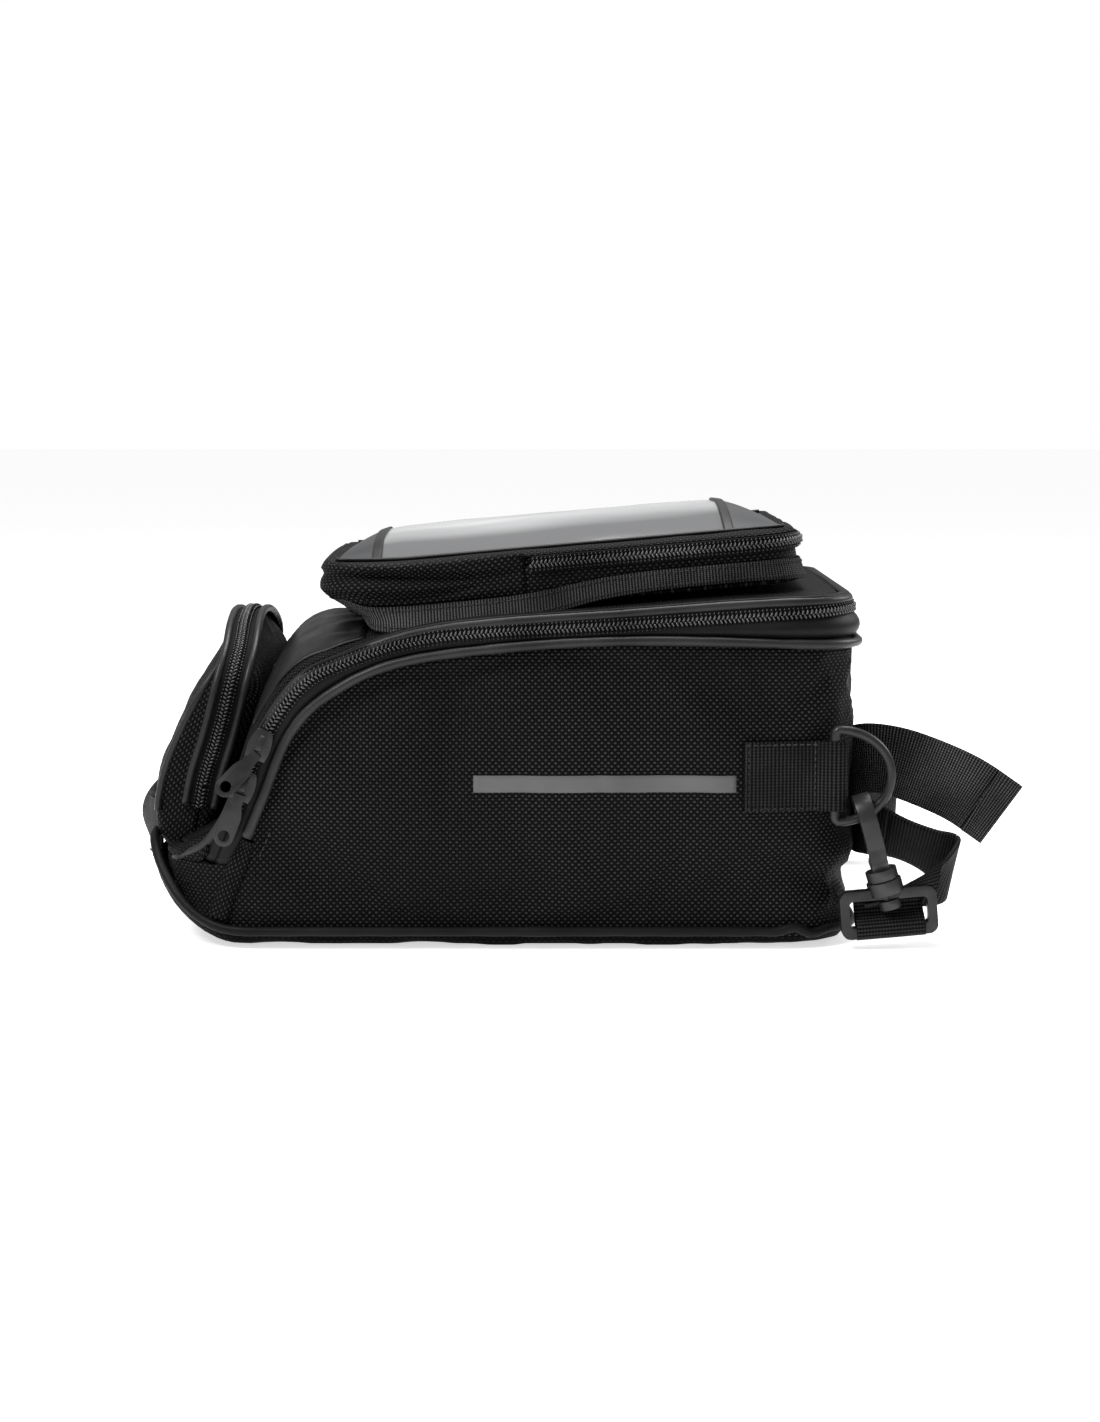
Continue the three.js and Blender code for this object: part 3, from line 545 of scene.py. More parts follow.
# --- materials ---
class Shader:
    """A Principled material and short ways to wire its nodes."""

    def __init__(self, name, color, roughness, metallic, specular):
        self.material = bpy.data.materials.new(name)
        self.material.use_nodes = True
        self.tree = self.material.node_tree
        self.shader = self.tree.nodes["Principled BSDF"]
        self.set("Base Color", (*color, 1))
        self.set("Roughness", roughness)
        self.set("Metallic", metallic)
        self.set("Specular IOR Level", specular)

    def set(self, socket, value):
        self.shader.inputs[socket].default_value = value

    def node(self, kind, **settings):
        made = self.tree.nodes.new(kind)
        for key, value in settings.items():
            setattr(made, key, value)
        return made

    def feed(self, socket, source):
        if isinstance(source, (int, float)):
            socket.default_value = source
        else:
            self.tree.links.new(source, socket)

    def math(self, operation, a, b=0.0):
        made = self.node("ShaderNodeMath", operation=operation)
        self.feed(made.inputs[0], a)
        self.feed(made.inputs[1], b)
        return made.outputs[0]

    def times(self, a, b):
        return self.math("MULTIPLY", a, b)

    def plus(self, a, b):
        return self.math("ADD", a, b)

    def blend(self, factor, a, b):
        """a where factor is 0, b where it is 1, of numbers."""
        return self.plus(a, self.times(factor, self.math("SUBTRACT", b, a)))

    def uv(self):
        split = self.node("ShaderNodeSeparateXYZ")
        self.tree.links.new(self.node("ShaderNodeUVMap").outputs[0], split.inputs[0])
        return split.outputs[0], split.outputs[1]

    def box_uv(self):
        """Two coordinates in metres that lie in the face, chosen by the way it looks."""
        place = self.node("ShaderNodeSeparateXYZ")
        self.tree.links.new(self.node("ShaderNodeTexCoord").outputs["Object"], place.inputs[0])
        facing = self.node("ShaderNodeSeparateXYZ")
        self.tree.links.new(self.node("ShaderNodeTexCoord").outputs["Normal"], facing.inputs[0])
        x, y, z = place.outputs
        nx, ny, nz = (self.math("ABSOLUTE", o) for o in facing.outputs)
        ends = self.math("GREATER_THAN", nx, self.math("MAXIMUM", ny, nz))
        flat = self.math("GREATER_THAN", nz, self.math("MAXIMUM", nx, ny))
        return self.blend(ends, x, y), self.blend(flat, z, y)

    def noise(self, scale, detail=2.0, stretch=(1, 1, 1)):
        coordinates = self.node("ShaderNodeTexCoord").outputs["Object"]
        mapping = self.node("ShaderNodeMapping")
        mapping.inputs["Scale"].default_value = stretch
        self.tree.links.new(coordinates, mapping.inputs[0])
        made = self.node("ShaderNodeTexNoise")
        made.inputs["Scale"].default_value = scale
        made.inputs["Detail"].default_value = detail
        self.tree.links.new(mapping.outputs[0], made.inputs["Vector"])
        return made.outputs["Fac"]

    def color_between(self, factor, dark, light):
        ramp = self.node("ShaderNodeMix", data_type="RGBA")
        ramp.inputs[6].default_value = (*dark, 1)
        ramp.inputs[7].default_value = (*light, 1)
        self.feed(ramp.inputs[0], factor)
        self.tree.links.new(ramp.outputs[2], self.shader.inputs["Base Color"])

    def bump(self, height, distance):
        made = self.node("ShaderNodeBump")
        made.inputs["Distance"].default_value = distance
        self.feed(made.inputs["Height"], height)
        self.tree.links.new(made.outputs[0], self.shader.inputs["Normal"])

    def ripple(self, coordinate, pitch):
        """A rounded ridge every pitch, from 0 to 1."""
        turned = self.times(coordinate, math.pi / pitch)
        return self.math("ABSOLUTE", self.math("SINE", turned))


def woven(name, dark, light, pitch, boxed=False):
    """Coarse plain-woven polyester: painted highlights on the crowns of yarns that pass over make short bright
    dashes, and painted shade darkens the gaps between yarns.
    """
    s = Shader(name, light, 0.55, 0, 0.05)
    u, v = s.box_uv() if boxed else s.uv()
    sine_u = s.math("SINE", s.times(u, math.pi / pitch))
    sine_v = s.math("SINE", s.times(v, math.pi / pitch))
    across_u = s.math("POWER", s.math("ABSOLUTE", sine_u), 0.9)
    across_v = s.math("POWER", s.math("ABSOLUTE", sine_v), 1.8)
    over = s.math("GREATER_THAN", s.times(sine_u, sine_v), 0)
    crown = s.times(across_u, across_v)
    strands = s.blend(over, s.ripple(u, pitch / 5), s.ripple(v, pitch / 5))
    height = s.plus(crown, s.times(strands, 0.1))
    height = s.times(height, s.plus(s.times(over, 0.5), 0.5))
    height = s.plus(height, s.times(s.noise(900, 1), 0.22))
    # painted highlight and shade: colour follows the yarn crowns, bright on the over yarns and dark in the
    # gaps; the patchy noise below is random tone
    crown_highlight_and_tone = s.times(crown, s.plus(s.times(over, 0.94), 0.06))
    patchy = s.plus(s.times(s.noise(11, 3), 1.1), s.times(s.noise(420, 1), 0.7))
    crown_highlight_and_tone = s.times(crown_highlight_and_tone, s.math("SUBTRACT", patchy, 0.1))
    s.color_between(crown_highlight_and_tone, dark, light)
    s.bump(height, 0.0003)
    return s.material


def ribbed(name, dark, light, pitch, cross, depth):
    """Webbing or tape: ribs across it, crossed by finer threads; the colour brightens with height, a painted
    highlight on the rib crowns and painted shade in the grooves.
    """
    s = Shader(name, light, 0.6, 0, 0.06)
    u, v = s.uv()
    ribs = s.math("POWER", s.ripple(u, pitch), 1.6)
    threads = s.ripple(v, cross)
    height = s.plus(ribs, s.times(threads, 0.5))
    height = s.plus(height, s.times(s.noise(1100, 1), 0.35))
    # painted highlight and shade: colour rises steeply with rib height, bright crowns and dark grooves, times
    # a random tone
    crown_highlight_and_tone = s.times(s.math("POWER", height, 3.4), s.times(s.noise(40, 2), 0.25))
    s.color_between(crown_highlight_and_tone, dark, light)
    s.bump(height, depth)
    return s.material


def satin(name, dark, light, roughness, specular, grain, depth, stretch=(1, 1, 1)):
    """Smooth cloth, plastic or paint with a fine grain and uneven wear."""
    s = Shader(name, light, roughness, 0, specular)
    fine = s.noise(grain, 3, stretch)
    coarse = s.noise(30, 2)
    s.color_between(s.math("SUBTRACT", s.times(coarse, 2.2), 0.6), dark, light)
    rough = s.plus(s.times(fine, 0.16), roughness - 0.08)
    s.tree.links.new(rough, s.shader.inputs["Roughness"])
    s.bump(fine, depth)
    return s.material


def worn_metal(name):
    """Dark painted metal, lighter where edges are rubbed."""
    s = Shader(name, (0.03, 0.03, 0.031), 0.36, 0.5, 0.3)
    edge = s.math("SUBTRACT", s.node("ShaderNodeNewGeometry").outputs["Pointiness"], 0.5)
    worn = s.times(edge, 9)
    worn.node.use_clamp = True
    mixed = s.plus(worn, s.times(s.noise(160, 3), 0.35))
    s.color_between(mixed, (0.006, 0.006, 0.0063), (0.05, 0.05, 0.052))
    rough = s.plus(s.times(s.noise(500, 2), 0.2), 0.24)
    s.tree.links.new(rough, s.shader.inputs["Roughness"])
    s.bump(s.noise(900, 2), 0.00003)
    return s.material


def clear_vinyl(name):
    """Soft clear vinyl, painted lighter along the middle where it stands off the map: a painted reflection
    along the crest.
    """
    s = Shader(name, (0.2, 0.202, 0.205), 0.13, 0, 0.5)
    s.set("Alpha", 0.86)
    s.set("IOR", 1.5)
    place = s.node("ShaderNodeSeparateXYZ")
    s.tree.links.new(s.node("ShaderNodeTexCoord").outputs["Object"], place.inputs[0])
    across = s.math("ABSOLUTE", place.outputs[1])
    streaks = s.times(s.noise(30, 2, (0.3, 1, 1)), 0.02)
    # painted reflection: the colour is lighter along the window's middle, standing in for the bright
    # reflection along its crest
    painted_reflection_band = s.math("SUBTRACT", 1.75, s.times(s.plus(across, streaks), 31))
    painted_reflection_band.node.use_clamp = True
    s.color_between(painted_reflection_band, (0.14, 0.141, 0.144), (0.62, 0.625, 0.63))
    s.bump(s.noise(24, 2), 0.0009)
    return s.material


FABRIC = woven("woven_polyester", (0.0006, 0.0006, 0.0006), (0.052, 0.052, 0.0535), 0.00135)
BASE_CLOTH = woven("base_cloth", (0.0006, 0.0006, 0.0006), (0.012, 0.012, 0.0125), 0.00135, True)
GUSSET = satin("gusset_cloth", (0.0025, 0.0025, 0.0027), (0.009, 0.009, 0.0094), 0.5, 0.12, 700, 0.00006)
PIPING = satin("piping_satin", (0.007, 0.007, 0.0073), (0.024, 0.024, 0.0248), 0.4, 0.22, 420, 0.00008)
COIL = satin("coil_nylon", (0.02, 0.02, 0.0205), (0.085, 0.085, 0.087), 0.26, 0.5, 300, 0.00002)
COIL_TAPE = satin("coil_tape", (0.0012, 0.0012, 0.0013), (0.004, 0.004, 0.0042), 0.6, 0.06, 900, 0.00005)
WEBBING_CLOTH = ribbed("webbing", (0.0006, 0.0006, 0.0006), (0.041, 0.041, 0.042), 0.0016, 0.00128, 0.00016)
BINDING = ribbed("grosgrain", (0.0008, 0.0008, 0.0008), (0.12, 0.12, 0.123), 0.0013, 0.0008, 0.00022)
LOOP_CLOTH = ribbed("hook_and_loop", (0.001, 0.001, 0.001), (0.13, 0.13, 0.133), 0.0011, 0.0011, 0.0003)
THREAD = satin("thread", (0.012, 0.012, 0.0123), (0.045, 0.045, 0.046), 0.5, 0.1, 900, 0.00003)
SHOULDER = satin("shoulder_satin", (0.002, 0.002, 0.0021), (0.011, 0.011, 0.0114), 0.42, 0.2, 260, 0.00012,
                 (1, 0.15, 1))
VINYL = satin("grey_vinyl", (0.035, 0.036, 0.038), (0.06, 0.061, 0.063), 0.5, 0.2, 240, 0.00005)
METAL = worn_metal("dark_metal")
PLASTIC = satin("moulded_plastic", (0.006, 0.006, 0.0063), (0.014, 0.014, 0.0145), 0.45, 0.2, 600, 0.00004)
STRIPE = satin("reflective_print", (0.09, 0.09, 0.092), (0.12, 0.12, 0.122), 0.5, 0.15, 900, 0.00003)
CLEAR = clear_vinyl("clear_vinyl")


# --- camera, light and floor ---
def make_studio():
    scene = bpy.context.scene
    camera = link("camera", bpy.data.cameras.new("camera"))
    camera.location = Vector(CAMERA_PLACE) * MM
    camera.rotation_euler = (math.radians(90 - CAMERA_DOWN), 0, 0)
    camera.data.lens = CAMERA_LENS
    camera.data.sensor_width = CAMERA_SENSOR
    scene.camera = camera
    paper = Shader("floor_paper", (0.85, 0.85, 0.85), 0.9, 0, 0.1)
    paper.set("Emission Color", (1, 1, 1, 1))
    paper.set("Emission Strength", 0.62)
    corners = [(x * FLOOR_HALF, y * FLOOR_HALF, 0) for x, y in ((-1, -1), (1, -1), (1, 1), (-1, 1))]
    floor = make_object("floor", corners, [(0, 1, 2, 3)], None, paper.material)
    floor.location.z = -FLOOR_DROP * MM
    make_world()
    for name, place, size, power in LIGHTS:
        light = link(name, bpy.data.lights.new(name, "AREA"))
        light.data.size = size
        light.data.energy = power
        light.location = place
        light.rotation_euler = (Vector((0, 0, 0.08)) - light.location).to_track_quat("-Z", "Y").to_euler()
    scene.view_settings.view_transform = "Standard"


def make_world():
    """White all round to look at, but a dimmer light on the object."""
    world = bpy.data.worlds.new("studio")
    world.use_nodes = True
    nodes, links = world.node_tree.nodes, world.node_tree.links
    seen = nodes.new("ShaderNodeLightPath").outputs["Is Camera Ray"]
    strength = nodes.new("ShaderNodeMath")
    strength.operation = "MULTIPLY_ADD"
    links.new(seen, strength.inputs[0])
    strength.inputs[1].default_value = 0.6
    strength.inputs[2].default_value = 0.4
    background = nodes["Background"]
    background.inputs[0].default_value = (1, 1, 1, 1)
    links.new(strength.outputs[0], background.inputs[1])
    bpy.context.scene.world = world


# --- bag body ---
def wall_top(x):
    """Height of the walls' top edge: the seam line on the sides, level across the rider end."""
    return np.maximum(height_on(SEAM_LINE, np.maximum(x, -112.5)), REAR_TOP)


def make_walls():
    plan, normals = plan_loop(0, step=2.4)
    rows = 30
    t = np.linspace(0, 1, rows)
    low = underside(plan[:, 0]) + 4.5
    high = wall_top(plan[:, 0]) - 0.4
    grid = as_grid(plan[:, :1], plan[:, 1:], low[:, None] + (high - low)[:, None] * t)
    uv = np.stack([np.repeat(lengths_along(np.vstack([plan, plan[:1]]))[:, None], rows, 1),
                   np.vstack([grid, grid[:1]])[..., 2]], 2) * MM
    pinned = np.zeros(grid.shape[:2])
    pinned[:, 0] = pinned[:, -1] = 1
    pinned[:, 1] = pinned[:, -2] = 0.5
    swollen = settle(grid, pinned)
    depth = np.sin(math.pi * t)[None] ** 0.7
    folds = wobble(grid, 46, 1.5, 3.1) + wobble(grid, 17, 0.5, 5.2)
    pinch = front_corner_folds(grid)
    swollen = swollen + in_space(normals)[:, None] * (folds * depth + pinch)[..., None]
    walls = sheet_mesh("body_walls", swollen, WALL - 0.6, FABRIC, True, uv)
    ride(walls, "bag", "woven_fabric", "near_side_panel", "far_side_panel", "forward_end_panel",
         "rider_end_panel")
    return swollen


def front_corner_folds(grid):
    """The walls draw in under the ring tabs at the forward corners and bulge again above the base."""
    x, y, z = grid[..., 0], np.abs(grid[..., 1]), grid[..., 2]
    corner = bell(x, 142, 20) * bell(y, 82, 27)
    draw = -2.6 * bell(z, 60, 13) - 6.5 * bell(z - (144 - x) * 0.25, 25, 5)
    return corner * (draw + 1.8 * bell(z, 37, 6) + 1.2 * bell(z, 104, 16))


def rider_reach(x):
    """How far the base stands out beyond the walls at the rider end."""
    return 6.6 * ramp(x, -125, -145)


def make_base():
    insets = [0.6, 1.6, 3.2, 6, 10, 15, 22, 31, 42, 56, 72, 86, 95]
    drops = [6.8, 3.4, 1.5, 0.5, 0.15, 0.05, 0.05, 0.05, 0.05, 0.05, 0.05, 0.05, 0.05]
    shares = [0, 1, 1, 0.95, 0.8, 0.65, 0.45, 0.25, 0.1, 0, 0, 0, 0, 0]
    loops = []
    for inset, drop, share in zip([0.6] + insets, [7.4] + drops, shares):
        plan, normals = plan_loop(inset)
        z = underside(plan[:, 0]) + drop
        loops.append(np.column_stack([plan + normals * share * rider_reach(plan[:, :1]), z]))
    grid = np.stack(loops, 1)
    lumps = wobble(grid, 34, 2.4, 7.7) + wobble(grid, 12, 0.9, 1.4)
    free = np.array([0, 0.2, 0.8, 1, 1, 0.8, 0.5, 0.2, 0, 0, 0, 0, 0, 0])
    grid[..., 2] = np.maximum(grid[..., 2] + (lumps - 0.6) * free, 0.05)
    grid = grid[:, ::-1]
    base = sheet_mesh("padded_base", grid, 2.4, BASE_CLOTH, True)
    ride(base, "bag", "woven_fabric", "base_panel")


def make_pipings():
    plan, normals = plan_loop(-3.2)
    curl = 2.2 * bell(plan[:, 0], 122, 9) * np.sin((plan[:, 0] - 112) / 3.5)
    reach = 0.4 * rider_reach(plan[:, :1]) - 1.8 * ramp(plan[:, :1], 116, 130)
    route = np.column_stack([plan + normals * reach, underside(plan[:, 0]) + 7 + curl])
    make_piping("base_piping_cord", route, in_space(normals), True, "bag", "lower_piping", GUSSET)
    # the upper piping ends a little above the zip's lower end, where a plain seam takes over
    points, out = wall_route(SEAM_LINE, -2.6)
    keep = points[:, 2] > 45
    make_piping("seam_piping_cord", points[keep], out[keep], False, "bag", "upper_piping")
    points, out = wall_route(LID_TAIL + LID_LINE[1:], 1.6)
    _, _, crosswise = frames_along(points, out)
    points = points - crosswise * 2.6
    make_piping("lid_piping_cord", points, out, False, "lid", "lid_piping")


def make_piping(name, route, out, closed, body, node, material=PIPING):
    scale = 1 + wobble(route, 9, 0.09, 4.0) + wobble(route, 30, 0.05, 2.0)
    tube = sweep(name, route, out, circle(2.05, 12), material, closed, scale)
    ride(tube, body, "piping", node)


def make_corner_pleats():
    """A pleat that goes on from the upper piping's end down to the base, between two seams."""
    for name, side in SIDES:
        line = smooth_line([(-107, 45), (-111, 36), (-116, 24), (-120.5, 12)])
        depth = [wall_face_y(x, z, side) + 0.6 for x, z in line]
        route = np.column_stack([line[:, 0], side * np.array(depth), line[:, 1]])
        out = (-0.15, side, 0)
        width = np.linspace(0.55, 1.05, len(line)) + 0.1 * np.sin(np.linspace(0, 5, len(line)))
        pleat = [(-4.6, -0.9), (4.6, -0.9), (5.0, 0.1), (4.2, 1.5), (2.2, 2.5), (0, 2.7), (-2.4, 2.4),
                 (-4.3, 1.3), (-5.0, 0)]
        ride(sweep(f"{name}_corner_pleat", route, out, pleat, FABRIC, False, width), "bag", "woven_fabric")
        seam = stitch_row(f"{name}_corner_stitches", route + np.array((8.4, side * 0.4, 2.2)), out)
        ride(seam, "bag", "zip_tape")


def wall_face_y(x, z, side):
    """How far out a side wall's face lies at a place on it."""
    face = WALLS[WALLS[:, 0, 1] * side > 0]
    face = face[np.argsort(face[:, 0, 0])]
    at = int(np.clip(np.searchsorted(face[:, 0, 0], x), 1, len(face) - 1))
    low, high = (np.interp(z, column[:, 2], np.abs(column[:, 1])) for column in face[at - 1:at + 1])
    start, end = face[at - 1, 0, 0], face[at, 0, 0]
    return low + (high - low) * np.clip((x - start) / max(end - start, 1e-6), 0, 1)


def make_gussets():
    """The gusset between the upper piping and the zip, and the tape between the zip and the lid."""
    for name, low_line, high_line, body, node, bulge in (
            ("lower_gusset", SEAM_LINE, ZIP_LINE, "bag", "lower_zip_tape", 2.0),
            ("upper_gusset", ZIP_LINE, LID_LINE, "lid", "upper_zip_tape", 0.4)):
        low, out = wall_route(low_line, 1.2)
        high, _ = wall_route(high_line, 1.2)
        count = len(low)
        at = np.linspace(0, 1, count)
        high_even = np.linspace(0, 1, len(high))
        high = np.column_stack([np.interp(at, high_even, c) for c in high.T])
        t = np.linspace(0.015, 0.985, 9)
        grid = low[:, None] * (1 - t[None, :, None]) + high[:, None] * t[None, :, None]
        full = bulge * (1 + 1.3 * ramp(low[:, :1], 60, 120))
        lift = np.sin(math.pi * t)[None] * full + wobble(grid, 15, 0.5, 8.8) * np.sin(math.pi * t)[None]
        grid = grid + out[:, None] * lift[..., None]
        if body == "lid":
            hem = grid[:, -1:] - out[:, None] * 4.2
            grid = np.concatenate([grid, hem], 1)
        tape = sheet_mesh(name, grid, 1.4, GUSSET)
        ride(tape, body, "zip_tape", node)


def make_heel():
    """The uncut cloth between the rider end panel and the lid."""
    plan, normals = one_stretch(plan_loop(0.4), lambda plan: plan[:, 0] < -121.5)
    low = np.maximum(REAR_TOP - 0.6, height_on(LID_LINE, np.maximum(plan[:, 0], -126.5)) - 2.6)
    high = np.interp(plan[:, 0], (-142, -131, -122.5), (39.5, 44.6, 48.6))
    t = np.linspace(0, 1, 9)
    grid = np.zeros((len(plan), len(t), 3))
    inward = t[None] ** 2 * 4.2 - np.sin(math.pi * t)[None] * 1.2
    inward = inward - wobble(np.column_stack([plan, low]), 12, 0.6, 3.0)[:, None] * np.sin(math.pi * t)[None]
    grid[..., :2] = plan[:, None] - normals[:, None] * inward[..., None]
    grid[..., 2] = low[:, None] + (high - low)[:, None] * t
    heel = sheet_mesh("heel_cloth", grid, 1.8, FABRIC)
    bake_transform(heel)
    for name, side in SIDES:
        make_corner_cloth(name, side)


def make_corner_cloth(name, side):
    """Cloth over the zip's lower end, from the wall's top edge to the lid's edge."""
    xs = np.linspace(-127, -105.5, 16)
    t = np.linspace(0, 1, 12)
    low = wall_top(xs) - 3
    high = np.minimum(height_on(LID_LINE, np.maximum(xs, -126.5)) - 1.6, 56 + 0.25 * (xs + 116))
    out = half_width_at(xs, 3.6) + 0.9 * np.sin((xs + 127) / 2.1)
    grid = as_grid(xs[:, None], side * (out[:, None] + np.sin(math.pi * t)),
                   low[:, None] + (high - low)[:, None] * t)
    grid[..., 1] += side * wobble(grid, 9, 0.5, 4.0)
    cloth = sheet_mesh(f"{name}_corner_cloth", grid if side < 0 else grid[::-1], 1.2, FABRIC)
    ride(cloth, "bag", "woven_fabric")


def make_main_chain():
    route, out = wall_route(ZIP_LINE, 0.4, 1.2)
    keep = route[:, 2] > 50
    route, out = route[keep], out[keep]
    ride(tooth_row("main_teeth_lower", route, out, NEAR), "bag", "coil", "main_coil_lower")
    ride(tooth_row("main_teeth_upper", route, out, FAR, offset=0.5), "lid", "coil", "main_coil_upper")
    for name, side, body in (("main_core_lower", -1, "bag"), ("main_core_upper", 1, "lid")):
        _, outward, crosswise = frames_along(route, out)
        strip = flat_section(3.6, 1.1, 4)
        core = sweep(name, route + crosswise * side * 1.85 + outward * 0.1, out, strip, COIL_TAPE)
        ride(core, body, "coil")


# --- lid ---
def half_width_at(x, inset):
    plan, _ = plan_loop(inset)
    near = plan[plan[:, 1] <= 0]
    order = np.argsort(near[:, 0])
    return np.interp(x, near[order, 0], -near[order, 1])


def lid_profile():
    dense = smooth_line(LID_LINE)
    heel = np.array([(-141.4, 39.0), (-131, 43.9), (-122.5, 48.0)])
    upper = dense[dense[:, 1] > 53]
    upper = upper[upper[:, 0] < FRONT_X - 5]
    return resample(np.vstack([heel, upper, [(FRONT_X - 4.6, 145.6)]]), 2.6)


def lid_crown(x):
    """How far the lid stands up in its middle: most on the shoulder, which the pouch leaves free."""
    return 12.0 * bell(np.asarray(x), -84, 24) + 0.6


def make_lid():
    profile = lid_profile()
    across = np.linspace(-1, 1, 61)
    half = half_width_at(profile[:, 0], WALL + 0.6)
    grid = as_grid(profile[:, :1], half[:, None] * across, profile[:, 1:])
    up = grid_normals(grid)
    bow = (1 - across**2)[None] ** 0.75
    shoulder = bell(profile[:, :1], -80, 30)
    folds = (wobble(grid, 24, 1.7, 6.0) + wobble(grid, 9, 0.5, 2.5)) * shoulder * bow
    grid = grid + up * (lid_crown(profile[:, 0])[:, None] * bow + folds)[..., None]
    lid = sheet_mesh("lid_cloth", grid, WALL - 0.8, FABRIC)
    ride(lid, "lid", "woven_fabric", "lid_panel")
    rows = (profile[:, 0] > -104) & (profile[:, 0] < -58)
    satin_part = grid[rows][:, 2:-2]
    satin_part = satin_part + up[rows][:, 2:-2] * (0.7 + wobble(satin_part, 10, 0.7, 9.0))[..., None]
    shoulder_cloth = sheet_mesh("lid_shoulder_satin", satin_part, 1.0, SHOULDER)
    ride(shoulder_cloth, "lid", "woven_fabric")


# --- slope pocket ---
POCKET_HALF, POCKET_FOOT, POCKET_SHOULDER, POCKET_TOP = 65.0, 34.0, 96.0, 131.0
POCKET_UNDER = (-138, 0, 35.5)             # the line under the pocket where its bottom ends
POCKET_FACE = [(-149.5, 34), (-153.5, 38), (-156.5, 44), (-157, 54), (-154, 68), (-148.5, 82), (-138, 102),
               (-126, 121), (-120, 129.5), (-118.5, 131.5)]
POCKET_ZIP = [(-136, 34), (-134.5, 38.5), (-132, 52), (-129, 66.5), (-123.5, 83.4), (-119, 100.4),
              (-115.2, 118), (-115.6, 128), (-116.4, 131.5)]
POCKET_BACK = [(-126, 34), (-124, 38.5), (-121.5, 50.5), (-114, 66), (-107, 85), (-102.4, 100), (-103, 114),
               (-108.5, 126), (-113.4, 131.5)]


def pocket_reach(z):
    """Half the pocket's width at a height: straight sides under a round arch."""
    t = ramp(np.asarray(z, float), POCKET_SHOULDER, POCKET_TOP)
    return POCKET_HALF * np.maximum(1 - t**2.3, 0) ** 0.5


def pocket_heights(count):
    """Heights from the pocket's foot to its top, closer together toward the top of the arch."""
    return POCKET_FOOT + (POCKET_TOP - POCKET_FOOT) * np.sin(np.linspace(0, math.pi / 2, count))


def arch_route(line, lift, low):
    """Up the near flank from height low, over the arch and down the far flank, with outward directions."""
    heights = pocket_heights(70)
    heights = heights[heights > low]
    dense = smooth_line(line)
    x = np.interp(heights, dense[:, 1], dense[:, 0])
    near = np.column_stack([x, -pocket_reach(heights), heights])
    route = np.vstack([near, near[-2::-1] * np.array([1, -1, 1])])
    tangent = np.gradient(route, axis=0)
    out = np.column_stack([0 * tangent[:, 0], -tangent[:, 2], tangent[:, 1]])
    out /= np.linalg.norm(out, axis=1)[:, None]
    route = route + out * lift
    return resample(route, 1.2, out)


def pocket_half_shell(wall, radius, crown):
    """Cloth from the zip's line round one side of the pocket to the zip's line on the other flank."""
    heights = pocket_heights(54)
    edge_line, wall_line = smooth_line(POCKET_ZIP), smooth_line(wall)
    edge = np.interp(heights, edge_line[:, 1], edge_line[:, 0])
    middle = np.interp(heights, wall_line[:, 1], wall_line[:, 0])
    angles = np.linspace(0, math.pi / 2, 9)
    grid = []
    for x_edge, x_middle, z in zip(edge, middle, heights):
        half = max(float(pocket_reach(z)), 0.5)
        toward = np.sign(x_middle - x_edge)
        depth = abs(x_middle - x_edge)
        side = depth - min(crown, 0.45 * depth) * min(1, half / 40)
        r = min(radius, 0.8 * side, 0.6 * half)
        flank = [(side - r) * t for t in np.linspace(0, 1, 7)[:-1]]
        section = [(d, -half) for d in flank]
        section += [(side - r + r * math.sin(a), -half + r - r * math.cos(a)) for a in angles]
        for t in np.linspace(1, 0, 16)[1:]:
            y = -(half - r) * t
            section.append((side + (depth - side) * (1 - t**2), y))
        section += [(d, -y) for d, y in section[-2::-1]]
        grid.append([(x_edge + toward * d, y, z) for d, y in section])
    return np.array(grid)


def make_pocket():
    front = pocket_half_shell(POCKET_FACE, 5, 6)
    out = grid_normals(front)
    foot = np.clip((front[..., 2] - POCKET_FOOT) / 14, 0.15, 1)
    front = front + out * ((wobble(front, 24, 1.3, 4.4) + wobble(front, 9, 0.5, 2.0)) * foot)[..., None]
    cloth = sheet_mesh("pocket_front_cloth", front, 2.0, FABRIC)
    bend_with_pocket(cloth, "pocket_front", "woven_fabric")
    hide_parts("pocket_flap")
    foot_line = front[0]
    under = foot_line * np.array([0, 1, 0]) + np.array(POCKET_UNDER)
    shares = np.linspace(0, 1, 6)[None, :, None]
    bottom = foot_line[:, None] * (1 - shares) + under[:, None] * shares
    ride(sheet_mesh("pocket_bottom", bottom, 1.5, FABRIC), "lid", "woven_fabric")
    back = pocket_half_shell(POCKET_BACK, 8, 3)[:, ::-1]
    out = grid_normals(back)
    dent = -2.4 * bell(back[..., 2], 74, 13) * bell(back[..., 0], -117, 5)
    back = back + out * (wobble(back, 20, 1.3, 2.2) + wobble(back, 8, 0.5, 6.0) + dent)[..., None]
    shell = sheet_mesh("pocket_back", back, 2.0, FABRIC)
    ride(shell, "lid", "woven_fabric", "pocket_shell")
    make_pocket_zip()
    make_pocket_tab()
    make_handle()


